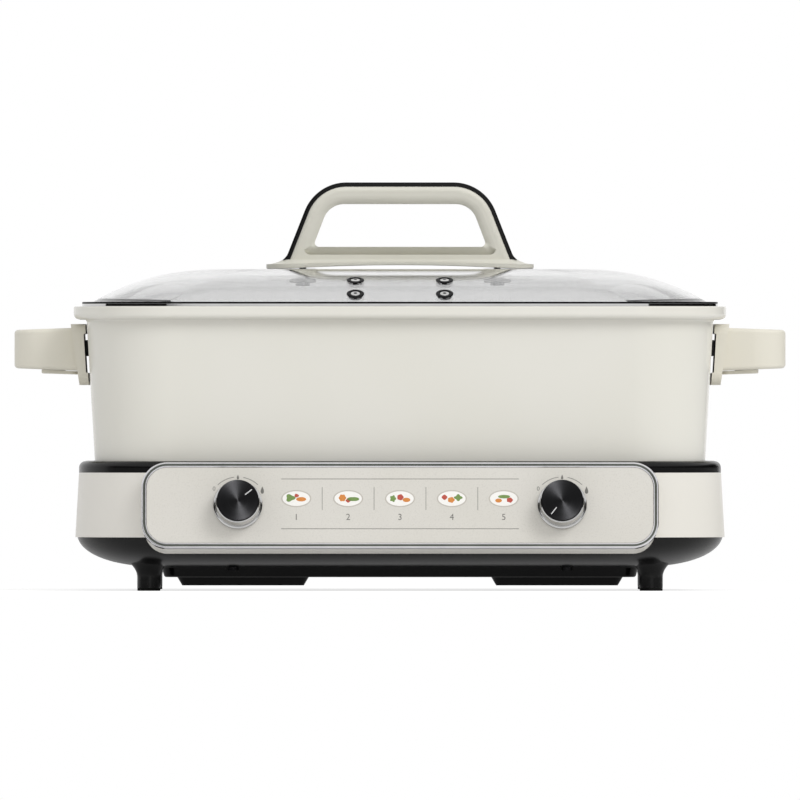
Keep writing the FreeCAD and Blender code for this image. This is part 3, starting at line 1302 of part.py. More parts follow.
def draw_arch_core(sketch, seat_half, top_half, top):
    """The arch's own outer outline with its two round shoulders, as one closed sketch."""
    seat = Vector(size(seat_half), size("handle_seat"), 0)
    shoulder = Vector(size(top_half), size(top), 0)
    radius = size("arch_corner - strip_thick")
    leg = (shoulder - seat).normalize()
    turn = leg.getAngle(Vector(-1, 0, 0))
    cut_back = radius * math.tan(turn / 2)
    enter = shoulder - leg * cut_back
    depart = shoulder - Vector(1, 0, 0) * cut_back
    middle = Vector(depart.x, depart.y - radius, 0)
    mirror = lambda point: Vector(-point.x, point.y, 0)
    start = math.atan2(enter.y - middle.y, enter.x - middle.x)
    right_circle = Part.Circle(middle, Vector(0, 0, 1), radius)
    left_circle = Part.Circle(mirror(middle), Vector(0, 0, 1), radius)
    lines = [Part.LineSegment(mirror(seat), seat), Part.LineSegment(seat, enter),
             Part.ArcOfCircle(right_circle, start, math.pi / 2), Part.LineSegment(depart, mirror(depart)),
             Part.ArcOfCircle(left_circle, math.pi / 2, math.pi - start),
             Part.LineSegment(mirror(enter), mirror(seat))]
    for line in lines:
        sketch.addGeometry(line)
    for before, after, kind in ((0, 1, "Coincident"), (1, 2, "Tangent"), (2, 3, "Tangent"), (3, 4, "Tangent"),
                                (4, 5, "Tangent"), (5, 0, "Coincident")):
        sketch.addConstraint(Sketcher.Constraint(kind, before, 2, after, 1))
    drive(sketch, "DistanceX", (1, 1), seat_half)
    drive(sketch, "DistanceY", (1, 1), "handle_seat")
    drive(sketch, "DistanceX", (0, 1), "-" + seat_half)
    drive(sketch, "DistanceY", (0, 1), "handle_seat")
    drive(sketch, "DistanceY", (3, 1), top)
    sketch.addConstraint(Sketcher.Constraint("Horizontal", 3))
    sketch.addConstraint(Sketcher.Constraint("Equal", 2, 4))
    sketch.addConstraint(Sketcher.Constraint("Equal", 1, 5))
    drive(sketch, "Radius", (2,), "arch_corner - strip_thick")
    return sketch


def make_lid_screws():
    """Two screws up through the glass into the handle, with silicone washers above and below the glass."""
    screws, washers = [], []
    under_low = "(glass_under - fit_gap - washer_thick)"
    for index, x in enumerate(("-lid_screw_x", "lid_screw_x")):
        head_low = under_low + " - lid_screw_head_thick"
        head = cylinder("lid_screw_head_%d" % index, "lid_screw_head", "lid_screw_head_thick", x, z=head_low)
        shank = cylinder("lid_screw_shank_%d" % index, "lid_screw_radius",
                         "handle_seat + lid_screw_bite - screw_end_gap - " + under_low, x, z=under_low)
        screws.append(fuse("lid_screw_%d" % index, head, shank))
        for name, low, thick in (("under", under_low, "washer_thick"),
                                 ("over", "glass_crown + fit_gap", "foot_plate_gap - fit_gap")):
            disc = cylinder("washer_%s_%d" % (name, index), "washer_radius", thick, x, z=low)
            bore = "lid_screw_radius + screw_play / 2"
            hole = cylinder("washer_%s_hole_%d" % (name, index), bore, thick, x, z=low)
            washers.append(cut("washer_%s_ring_%d" % (name, index), disc, hole))
    group("lid_screws", screws)
    group("lid_washers", washers)


# ---- assembly ----------------------------------------------------------------------------------------

def make_all():
    """Builds every sub-part in the order in which the pot is put together."""
    make_bottom_shell()
    make_band()
    make_top_frame()
    make_foot_pads()
    make_base_screws()
    for side_name, side in (("left", "-"), ("right", "")):
        make_vent_cover("vent_cover_" + side_name, side)
        make_heater_plate("heater_plate_" + side_name, side)
        make_heater_tube("heater_tube_" + side_name, side)
        make_sensor(side_name, side)
        make_switch("heat_switch_" + side_name, side)
    make_tube_bushes()
    make_heat_shield()
    make_cutouts()
    make_control_housing()
    make_panel_trim()
    make_fascia()
    make_knob("left", "-", "mark_left")
    make_knob("right", "", "mark_right")
    make_inlet()
    make_pan()
    for side_name, turn in (("left", "180"), ("right", "0")):
        make_bracket(side_name, turn)
        make_grip(side_name, turn)
        make_grip_cover(side_name, turn)
    make_handle_screws()
    make_lid_rim()
    make_lid_glass()
    make_lid_bead()
    make_vents()
    make_lid_handle()
    make_lid_screws()


def check_and_write():
    """Stops at the first failed object or bad solid, and writes one STEP file per node."""
    doc.recompute()
    for item in doc.Objects:
        if "Invalid" in item.State or "Error" in item.State:
            raise ValueError("%s failed: %s" % (item.Name, item.State))
    for node in NODES:
        if node.Shape.isNull() or not node.Shape.isValid() or not node.Shape.Solids:
            raise ValueError("%s has no valid solid" % node.Label)
    os.makedirs("parts", exist_ok=True)
    for node in NODES:
        node.Shape.exportStep("parts/%s.step" % node.Label)
        print("%-28s %2d solid(s) %12.1f mm3" % (node.Label, len(node.Shape.Solids), node.Shape.Volume))


make_all()
check_and_write()
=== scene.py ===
"""Finishes and finely shaped surfaces for a two-zone electric hot pot with a lift-off glass lid.

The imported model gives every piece's place. Lengths in the classes below are millimetres, and the meshes
are made in metres in the model's own axes: the front faces -Y, +X is to the right and +Z is up.
"""

from __future__ import annotations

import json
import logging
import math
from collections.abc import Sequence
from dataclasses import dataclass, replace
from enum import Enum

import bpy
import numpy as np
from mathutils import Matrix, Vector

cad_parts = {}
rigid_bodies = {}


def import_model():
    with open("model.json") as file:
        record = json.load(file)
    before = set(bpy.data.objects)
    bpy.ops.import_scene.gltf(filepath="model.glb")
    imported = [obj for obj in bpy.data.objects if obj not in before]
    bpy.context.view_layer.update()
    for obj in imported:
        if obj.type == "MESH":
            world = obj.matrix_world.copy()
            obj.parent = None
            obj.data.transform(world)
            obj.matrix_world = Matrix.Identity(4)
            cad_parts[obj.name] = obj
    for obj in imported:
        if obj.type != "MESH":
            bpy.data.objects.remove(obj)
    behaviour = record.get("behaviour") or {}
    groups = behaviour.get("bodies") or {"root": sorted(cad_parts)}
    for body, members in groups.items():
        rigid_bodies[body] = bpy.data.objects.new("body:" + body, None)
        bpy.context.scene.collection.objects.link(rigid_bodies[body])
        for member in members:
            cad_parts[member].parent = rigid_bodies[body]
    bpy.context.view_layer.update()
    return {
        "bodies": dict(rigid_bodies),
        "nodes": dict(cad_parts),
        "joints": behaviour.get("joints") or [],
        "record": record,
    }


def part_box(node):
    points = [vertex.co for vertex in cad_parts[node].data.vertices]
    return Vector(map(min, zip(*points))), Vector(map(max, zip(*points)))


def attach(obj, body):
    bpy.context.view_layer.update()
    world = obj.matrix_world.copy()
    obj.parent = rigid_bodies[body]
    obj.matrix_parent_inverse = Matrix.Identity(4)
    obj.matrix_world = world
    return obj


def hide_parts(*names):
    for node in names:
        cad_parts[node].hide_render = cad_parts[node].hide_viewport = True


LOG = logging.getLogger("hot_pot")
MM = 0.001
SIDES = ("left", "right")
NOISE_MIDDLE = (0.3, 0.7)  # nearly all of a noise lies between these
LEAST_RADIUS = 0.02
STRAIGHT = 1e-4  # radians of turn below which a stop isn't rounded

Socket = bpy.types.NodeSocket
Material = bpy.types.Material
Triple = tuple[float, float, float]
Stops = Sequence[Triple]


# ---------------------------------------------------------------- colour and shader building blocks


def linear(hex_colour: str) -> tuple[float, float, float, float]:
    """Turn an sRGB colour into the linear values that shaders take.

    A value is divided by 12.92 up to 0.04045, and ((value + 0.055) / 1.055)^2.4 above it.

    Args:
        hex_colour: six hexadecimal digits, such as "e3e0d8".

    Returns:
        Linear red, green, blue and an alpha of one.
    """
    srgb = np.array([int(hex_colour[i:i + 2], 16) for i in (0, 2, 4)]) / 255.0
    curved = np.where(srgb <= 0.04045, srgb / 12.92, ((srgb + 0.055) / 1.055) ** 2.4)
    return (*(float(c) for c in curved), 1.0)


def grey(value: float) -> tuple[float, float, float, float]:
    """An opaque grey of a linear value."""
    return (value, value, value, 1.0)


class Tree:
    """A node tree of a material or of the world, filled node by node."""

    def __init__(self, owner: Material | bpy.types.World) -> None:
        """Start with an empty tree.

        Args:
            owner: the material or world that the tree belongs to.
        """
        owner.use_nodes = True
        self.nodes = owner.node_tree.nodes
        self.links = owner.node_tree.links
        self.nodes.clear()

    def add(self, kind: str, inputs: dict | None = None, **settings: object) -> bpy.types.Node:
        """Add a node, set its properties, and fill or link its sockets.

        Args:
            kind: Blender's name of the node type.
            inputs: socket name or number, with a plain value or another node's output.
            settings: the node's own properties.

        Returns:
            The new node.
        """
        node = self.nodes.new(kind)
        for key, value in settings.items():
            setattr(node, key, value)
        for key, value in (inputs or {}).items():
            if isinstance(value, Socket):
                self.links.new(value, node.inputs[key])
            else:
                node.inputs[key].default_value = value
        return node


class Shader(Tree):
    """A material's tree, written from the surface's place outwards to its output."""

    def __init__(self, name: str) -> None:
        """Start an empty material that reads places on the object.

        Args:
            name: the material's name.
        """
        self.material = bpy.data.materials.new(name)
        super().__init__(self.material)
        self.place = self.add("ShaderNodeTexCoord").outputs["Object"]

    def noise(self, size: float, detail: float = 2.0, stretch: Triple = (1.0, 1.0, 1.0)) -> Socket:
        """Cloudy values from 0 to 1.

        Args:
            size: millimetres from one cloud to the next.
            detail: octaves of finer clouds.
            stretch: how much longer the clouds are along X, Y and Z.

        Returns:
            The noise factor's socket.
        """
        scale = tuple(1.0 / s for s in stretch)
        mapped = self.add("ShaderNodeMapping", {"Vector": self.place, "Scale": scale}).outputs["Vector"]
        inputs = {"Vector": mapped, "Scale": 1.0 / (size * MM), "Detail": detail}
        return self.add("ShaderNodeTexNoise", inputs).outputs["Fac"]

    def spread(self, factor: Socket, low: float = 0.0, high: float = 1.0) -> Socket:
        """Stretch the middle of a noise so that it runs from low to high.

        Args:
            factor: the noise.
            low: what the middle's lower end becomes.
            high: what its upper end becomes.

        Returns:
            The stretched value's socket.
        """
        start, end = NOISE_MIDDLE
        inputs = {"Value": factor, "From Min": start, "From Max": end, "To Min": low, "To Max": high}
        return self.add("ShaderNodeMapRange", inputs, interpolation_type="SMOOTHSTEP").outputs["Result"]

    def gloss(self, factor: Socket, roughness: float, swing: float) -> Socket:
        """Let a roughness drift by the share swing of itself, and return its socket."""
        return self.spread(factor, roughness * (1.0 - swing), roughness * (1.0 + swing))

    def tint(self, factor: Socket, first: str, second: str) -> Socket:
        """Let a colour drift between two, and return its socket."""
        return self.blend(self.spread(factor), first, second)

    def blend(self, factor: Socket, first: str, second: str) -> Socket:
        """Mix two colours.

        Args:
            factor: 0 for the first, 1 for the second.
            first: six hexadecimal digits.
            second: six hexadecimal digits.

        Returns:
            The mixed colour's socket.
        """
        node = self.add("ShaderNodeMix", {0: factor}, data_type="RGBA")
        sockets = [socket for socket in node.inputs if socket.type == "RGBA"]
        for socket, colour in zip(sockets, (first, second)):
            socket.default_value = linear(colour)
        return next(socket for socket in node.outputs if socket.type == "RGBA")

    def bump(self, height: Socket, depth: float) -> Socket:
        """Return the normal bent by a relief of values from 0 to 1, depth millimetres apart."""
        inputs = {"Height": height, "Distance": depth * MM, "Strength": 1.0}
        return self.add("ShaderNodeBump", inputs).outputs["Normal"]

    def surface(self, inputs: dict) -> Material:
        """Close the tree with one surface shader and return the material."""
        return self.output(self.add("ShaderNodeBsdfPrincipled", inputs).outputs["BSDF"])

    def output(self, shader: Socket) -> Material:
        """Send shader to the material's output and return the material."""
        self.add("ShaderNodeOutputMaterial", {"Surface": shader})
        return self.material


# ---------------------------------------------------------------- finishes


@dataclass(frozen=True)
class Moulded:
    """Injection-moulded plastic: a fine spark-eroded skin over slow waves of the tool's polish."""

    name: str
    colour: str
    shade: str
    roughness: float
    grain: float = 0.5
    depth: float = 0.004
    gloss: float = 0.5

    def build(self) -> Material:
        """Make the material.

        Returns:
            A plastic whose gloss drifts a little and whose grain breaks up long highlights.
        """
        shader = Shader(self.name)
        drift = shader.noise(size=60.0, detail=1.0)
        grain = shader.noise(self.grain, detail=3.0)
        return shader.surface({
            "Base Color": shader.tint(drift, self.colour, self.shade),
            "Roughness": shader.gloss(grain, self.roughness, swing=0.15),
            "IOR": 1.49,
            "Specular IOR Level": self.gloss,
            "Normal": shader.bump(grain, self.depth),
        })


@dataclass(frozen=True)
class Elastomer:
    """Rubber or silicone: matt, with a dusting of bloom in the hollows of a soft grain."""

    name: str
    colour: str
    bloom: str
    roughness: float
    clear: float = 0.0

    def build(self) -> Material:
        """Make the material.

        Returns:
            A soft-looking surface without sharp highlights.
        """
        shader = Shader(self.name)
        dust = shader.noise(size=1.6, detail=4.0)
        return shader.surface({
            "Base Color": shader.tint(dust, self.colour, self.bloom),
            "Roughness": shader.gloss(dust, self.roughness, swing=0.1),
            "IOR": 1.43,
            "Specular IOR Level": 0.1,
            "Transmission Weight": self.clear,
            "Normal": shader.bump(shader.noise(size=0.35), depth=0.008),
        })


class Working(Enum):
    """How a metal's surface was worked, as the stretch of its marks along X, Y and Z."""

    POLISHED = (1.0, 1.0, 1.0)
    BRUSHED = (60.0, 1.0, 1.0)
    DRAWN = (1.0, 1.0, 8.0)
    CAST = (1.1, 1.0, 1.0)


@dataclass(frozen=True)
class Metal:
    """Bare or plated metal with the marks of its making."""

    name: str
    colour: str
    stain: str
    roughness: float
    working: Working = Working.POLISHED
    mark: float = 0.4
    depth: float = 0.0008

    def build(self) -> Material:
        """Make the material.

        Returns:
            A metal whose marks spread its highlights along one direction and whose tint drifts.
        """
        shader = Shader(self.name)
        marks = shader.noise(self.mark, detail=3.0, stretch=self.working.value)
        stain = shader.noise(size=18.0, detail=3.0)
        return shader.surface({
            "Base Color": shader.tint(stain, self.colour, self.stain),
            "Metallic": 1.0,
            "Roughness": shader.gloss(marks, self.roughness, swing=0.2),
            "Normal": shader.bump(marks, self.depth),
        })


@dataclass(frozen=True)
class Enamelled:
    """Sprayed and baked coating on metal: smooth, with a faint orange-peel and a clear top."""

    name: str
    colour: str
    shade: str
    roughness: float

    def build(self) -> Material:
        """Make the material.

        Returns:
            A glossy paint whose reflections waver slightly, as baked coatings' do.
        """
        shader = Shader(self.name)
        drift = shader.noise(size=90.0, detail=1.0)
        peel = shader.noise(size=2.2, detail=1.0)
        return shader.surface({
            "Base Color": shader.tint(drift, self.colour, self.shade),
            "Roughness": shader.gloss(drift, self.roughness, swing=0.1),
            "IOR": 1.5,
            "Normal": shader.bump(peel, depth=0.003),
        })


@dataclass(frozen=True)
class NonStick:
    """Dark non-stick lining: matt, full of tiny pale flecks."""

    name: str = "nonstick_lining"
    colour: str = "2b2a2a"
    fleck: str = "8d8a86"
    fleck_step: float = 1.5
    fleck_reach: tuple[float, float] = (0.10, 0.22)
    roughness: tuple[float, float] = (0.38, 0.5)

    def build(self) -> Material:
        """Make the material.

        Returns:
            A dark lining with half-millimetre flecks and a low sheen.
        """
        shader = Shader(self.name)
        cells = {"Vector": shader.place, "Scale": 1.0 / (self.fleck_step * MM)}
        flecks = shader.add("ShaderNodeTexVoronoi", cells).outputs["Distance"]
        full, bare = self.fleck_reach
        spots = shader.add("ShaderNodeMapRange", {"Value": flecks, "From Min": full, "From Max": bare,
                                                  "To Min": 1.0, "To Max": 0.0})
        grain = shader.noise(size=0.6)
        return shader.surface({
            "Base Color": shader.blend(spots.outputs["Result"], self.colour, self.fleck),
            "Roughness": shader.spread(grain, *self.roughness),
            "IOR": 1.38,
            "Normal": shader.bump(grain, depth=0.006),
        })


@dataclass(frozen=True)
class Glass:
    """Clear tempered glass that lets the studio's light fall through it."""

    name: str = "tempered_glass"
    tint: str = "f0f0f0"

    def build(self) -> Material:
        """Make the material.

        Returns:
            A clear refracting glass; shadow rays pass straight through.
        """
        shader = Shader(self.name)
        glass = shader.add("ShaderNodeBsdfPrincipled", {
            "Base Color": linear(self.tint),
            "Roughness": 0.0,
            "IOR": 1.5,
            "Transmission Weight": 1.0,
        })
        clear = shader.add("ShaderNodeBsdfTransparent", {"Color": linear(self.tint)})
        path = shader.add("ShaderNodeLightPath")
        mixed = shader.add("ShaderNodeMixShader", {0: path.outputs["Is Shadow Ray"], 1: glass.outputs["BSDF"],
                                                   2: clear.outputs["BSDF"]})
        return shader.output(mixed.outputs["Shader"])


@dataclass(frozen=True)
class SpunFace:
    """Dark metal turned on a lathe, so its highlights fan out from the middle."""

    name: str = "spun_face"
    colour: str = "1d1d1e"
    groove: str = "242425"
    rings: float = 90.0
    along: float = 0.4
    roughness: tuple[float, float] = (0.3, 0.4)

    def build(self) -> Material:
        """Make the material.

        Returns:
            A dark metal with fine turned rings; its gloss is drawn out along the piece's own wrap.
        """
        shader = Shader(self.name)
        wrap = shader.add("ShaderNodeUVMap", uv_map="wrap").outputs["UV"]
        scale = (self.along, self.rings, 1.0)
        turned_way = shader.add("ShaderNodeMapping", {"Vector": wrap, "Scale": scale}).outputs["Vector"]
        inputs = {"Vector": turned_way, "Scale": 1.0, "Detail": 2.0}
        rings = shader.add("ShaderNodeTexNoise", inputs).outputs["Fac"]
        tangent = shader.add("ShaderNodeTangent", direction_type="UV_MAP", uv_map="wrap").outputs["Tangent"]
        return shader.surface({
            "Base Color": shader.tint(rings, self.colour, self.groove),
            "Metallic": 1.0,
            "Roughness": shader.spread(rings, *self.roughness),
            "Anisotropic": 0.85,
            "Anisotropic Rotation": 0.25,
            "Tangent": tangent,
        })


@dataclass(frozen=True)
class Ink:
    """Screen-printed ink: a thin matt film with pinholes where the mesh let less through."""

    name: str
    colour: str
    thin: str

    def build(self) -> Material:
        """Make the material.

        Returns:
            A flat ink with faint lighter specks.
        """
        shader = Shader(self.name)
        specks = shader.noise(size=0.5, detail=3.0)
        return shader.surface({
            "Base Color": shader.tint(specks, self.colour, self.thin),
            "Roughness": 0.45,
            "IOR": 1.45,
        })


CREAM_PP = Moulded("cream_pp", "e3e0d9", "e0ddd5", 0.36, gloss=0.3)
LID_CREAM = Moulded("lid_cream", "d3d1c6", "d0cec2", 0.42, grain=0.4, depth=0.006)
CREAM_HANDLE = Moulded("cream_handle", "dedacd", "dbd7c9", 0.42, grain=0.4, depth=0.006)
PANEL_PRINT = Moulded("panel_print", "d4d1ca", "d1cec6", 0.3, grain=0.8, depth=0.001)
BLACK_PP = Moulded("black_pp", "0a0a0a", "0d0d0d", 0.24, grain=0.45, depth=0.004, gloss=0.25)
BLACK_GLOSS = Moulded("black_gloss", "060606", "080808", 0.12, grain=3.0, depth=0.001, gloss=0.22)
INLET_NYLON = Moulded("inlet_nylon", "171717", "1b1b1b", 0.45, grain=0.5, depth=0.01)
SWITCH_PHENOLIC = Moulded("switch_phenolic", "3a2a20", "2e2119", 0.5, grain=0.9, depth=0.01)
CERAMIC = Moulded("ceramic", "e2ddd0", "d6d0c2", 0.7, grain=0.7, depth=0.02)
FOOT_RUBBER = Elastomer("foot_rubber", "161616", "222221", 0.75)
# black seal: a modelled part whose black band over the rim also paints the steel rim's dark reflection
SEAL_BLACK_AND_PAINTED_REFLECTION = Elastomer("black_silicone", "070707", "0a0a0a", 0.4)
VENT_SILICONE = Elastomer("vent_silicone", "121213", "19191a", 0.35)
CLEAR_SILICONE = Elastomer("clear_silicone", "f0f0ee", "e6e6e3", 0.3, clear=0.95)
BRACKET_STEEL = Enamelled("bracket_steel", "191919", "1d1d1d", 0.35)
PAN_ENAMEL = Enamelled("pan_enamel", "dfddd5", "dddbd2", 0.2)
POLISHED_STEEL = Metal("polished_steel", "c9c9c8", "c2c2c1", 0.04)
BRIGHT_TRIM = Metal("bright_trim", "dcdbdd", "d2d1d4", 0.1)
KNOB_CHROME = Metal("knob_chrome", "c9c9c9", "bfbfbf", 0.1)
KNOB_MARK = Metal("knob_mark", "e8e8e8", "dedede", 0.25)
BLACK_SCREW = Metal("black_screw", "1c1c1d", "242425", 0.35, Working.CAST, 1.5)
# the panel frame's groove: a darker metal that is painted shade in the recess
GROOVE_PAINTED_SHADE = Metal("trim_groove_painted_shade", "6d716a", "62665f", 0.3)
ZINC_STEEL = Metal("zinc_steel", "b9bbbd", "a8a9aa", 0.3, Working.CAST, 1.5)
CAST_ALUMINIUM = Metal("cast_aluminium", "c4c4c2", "b2b2b0", 0.42, Working.CAST, 0.8, 0.01)
ELEMENT_SHEATH = Metal("element_sheath", "8d7f70", "5f6272", 0.38, Working.CAST, 1.2)
SENSOR_STEEL = Metal("sensor_steel", "c2c2c0", "b4b4b2", 0.28, Working.CAST, 0.6)
SPRING_STEEL = Metal("spring_steel", "a7a7a6", "93938f", 0.3, Working.DRAWN, 0.3)
SHIELD_STEEL = Metal("shield_steel", "bdbdb8", "a9a9a2", 0.4, Working.BRUSHED, 0.5)
PLATED_BRASS = Metal("plated_brass", "cfc9b4", "bfb798", 0.2, Working.DRAWN, 0.5)
NONSTICK = NonStick()
LID_GLASS = Glass()
KNOB_FACE = SpunFace()
GREY_INK = Ink("grey_ink", "6b6a66", "7a7974")
PLATE_INK = Ink("plate_ink", "b9b4ab", "c2bdb4")
PALE_INK = Ink("pale_ink", "efede8", "f2f0ec")
GREEN_INK = Ink("green_ink", "6f8c4a", "7b9757")
ORANGE_INK = Ink("orange_ink", "cf8038", "d68d4a")
RED_INK = Ink("red_ink", "b4493a", "be5b4c")

# ---------------------------------------------------------------- outlines, profiles and skins


def rectangle(long: float, wide: float, x: float = 0.0, y: float = 0.0) -> np.ndarray:
    """The four corners of a rectangle about (x, y), counter-clockwise from the near left one."""
    return np.array([(-1, -1), (1, -1), (1, 1), (-1, 1)]) * (long / 2, wide / 2) + (x, y)


def nested_rings(corners: np.ndarray, radii: object, insets: object, runs: int = 1,
                 steps: int = 12) -> np.ndarray:
    """Round-cornered outlines nested in one another.

    A side moved in by an inset keeps its normal n, so a corner's arc of radius r has its middle at
    corner - (inset + r) (n1 + n2) / (1 + n1.n2), and its points at middle + r (cos a, sin a), with the
    angle a running evenly from n1 to n2. Moving in by an inset takes as much off the radius.

    Args:
        corners: the sharp outline's corners, counter-clockwise.
        radii: radius of the corners at inset nought: one value, one for each corner, or a column with one for
            each ring.
        insets: how far in each ring lies; negative is outwards.
        runs: pieces that each straight side is divided into.
        steps: pieces that each arc is divided into.

    Returns:
        Rings by points by two coordinates, each ring counter-clockwise.
    """
    insets = np.asarray(insets, float).reshape(-1, 1)
    bend = np.maximum(np.broadcast_to(radii - insets, (len(insets), len(corners))), LEAST_RADIUS)
    sides = np.roll(corners, -1, axis=0) - corners
    normals = np.column_stack([sides[:, 1], -sides[:, 0]]) / np.linalg.norm(sides, axis=1)[:, None]
    before = np.roll(normals, 1, axis=0)
    mitre = (before + normals) / (1.0 + np.sum(before * normals, axis=1))[:, None]
    start = np.arctan2(before[:, 1], before[:, 0])[:, None]
    sweep = (np.arctan2(normals[:, 1], normals[:, 0])[:, None] - start) % (2.0 * np.pi)
    angle = start + sweep * np.linspace(0.0, 1.0, steps + 1)
    spokes = np.stack([np.cos(angle), np.sin(angle)], axis=-1)
    arcs = (corners - (insets + bend)[..., None] * mitre)[:, :, None] + bend[..., None, None] * spokes
    share = np.arange(1, runs)[:, None] / runs
    between = arcs[:, :, -1:] * (1.0 - share) + np.roll(arcs[:, :, :1], -1, axis=1) * share
    return np.concatenate([arcs, between], axis=2).reshape(len(insets), -1, 2)


def rounded_path(stops: Stops, steps: int = 5, closed: bool = False) -> np.ndarray:
    """A run of straight lines with rounded corners.

    A corner of radius r that turns by an angle t starts and ends r tan(t / 2) from its stop. Its points
    lie at middle + (sin((1 - f) t) first + sin(f t) last) / sin t, where first and last are the spokes to
    its two ends.

    Args:
        stops: two coordinates and the corner's radius for each stop, in order.
        steps: pieces that each arc is divided into.
        closed: whether the last stop leads back to the first.

    Returns:
        Points by two coordinates.
    """
    places = np.array([stop[:2] for stop in stops], float)
    arrive = places - np.roll(places, 1, axis=0)
    arrive /= np.maximum(np.linalg.norm(arrive, axis=1), 1e-9)[:, None]
    leave = np.roll(arrive, -1, axis=0)
    share = np.linspace(0.0, 1.0, steps + 1)[:, None]
    points = []
    for index, (place, coming, going) in enumerate(zip(places, arrive, leave)):
        radius = stops[index][2]
        turn = math.acos(float(np.clip(coming @ going, -1.0, 1.0)))
        loose = not closed and index in (0, len(places) - 1)
        if loose or radius <= 0.0 or turn < STRAIGHT:
            points.append(place[None])
            continue
        middle = place + (going - coming) * radius / (2.0 * math.sin(turn / 2) * math.cos(turn / 2))
        cut = radius * math.tan(turn / 2)
        first, last = place - coming * cut - middle, place + going * cut - middle
        arc = np.sin((1.0 - share) * turn) * first + np.sin(share * turn) * last
        points.append(middle + arc / math.sin(turn))
    return np.concatenate(points)


def turned(profile: np.ndarray, count: int = 48) -> tuple[np.ndarray, np.ndarray]:
    """Circles about an axis: (r cos a, r sin a) for each radius r of a profile, with its heights beside them.

    Args:
        profile: radius and height of each circle.
        count: points round each circle.

    Returns:
        Rings by points by two coordinates, and the rings' heights.
    """
    angle = np.arange(count) * 2.0 * np.pi / count
    spokes = np.stack([np.cos(angle), np.sin(angle)], axis=-1)
    return profile[:, 0][:, None, None] * spokes, profile[:, 1]


def smooth_step(value: np.ndarray, low: float, high: float) -> np.ndarray:
    """Nought below low, one above high, and 3 s^2 - 2 s^3 between them."""
    share = np.clip((value - low) / (high - low), 0.0, 1.0)
    return share * share * (3.0 - 2.0 * share)


def extent(*nodes: str) -> tuple[np.ndarray, np.ndarray]:
    """The box round one or more of the model's nodes.

    Args:
        nodes: their names.

    Returns:
        Its lowest and highest corner in millimetres.
    """
    boxes = [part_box(node) for node in nodes]
    lows = np.array([list(low) for low, _ in boxes]) / MM
    highs = np.array([list(high) for _, high in boxes]) / MM
    return lows.min(axis=0), highs.max(axis=0)


def stand(name: str, data: bpy.types.ID) -> bpy.types.Object:
    """Make an object and link it to the scene.

    Args:
        name: its name.
        data: its mesh, camera or lamp.

    Returns:
        The object.
    """
    made = bpy.data.objects.new(name, data)
    bpy.context.scene.collection.objects.link(made)
    return made


@dataclass(frozen=True)
class Seat:
    """A place on the object with its own right, up and outward directions."""

    origin: Triple
    right: Triple = (1.0, 0.0, 0.0)
    up: Triple = (0.0, 1.0, 0.0)
    out: Triple = (0.0, 0.0, 1.0)

    def place(self, plan: np.ndarray, height: object) -> np.ndarray:
        """Move points from the seat's own axes to the object's.

        Args:
            plan: (..., 2) distances to the right and up.
            height: distance outwards, for all, each row or each point.

        Returns:
            (..., 3) points: origin + right x + up y + out z.
        """
        outward = np.asarray(height, float)
        while 0 < outward.ndim < plan.ndim - 1:
            outward = outward[..., None]
        origin, right, up, out = (np.array(value) for value in (self.origin, self.right, self.up, self.out))
        flat = origin + plan[..., :1] * right + plan[..., 1:] * up
        return flat + np.broadcast_to(outward, plan.shape[:-1])[..., None] * out

    def moved(self, x: float, y: float) -> Seat:
        """The same directions about another point of the seat's plane."""
        return replace(self, origin=tuple(self.place(np.array([x, y]), 0.0)))


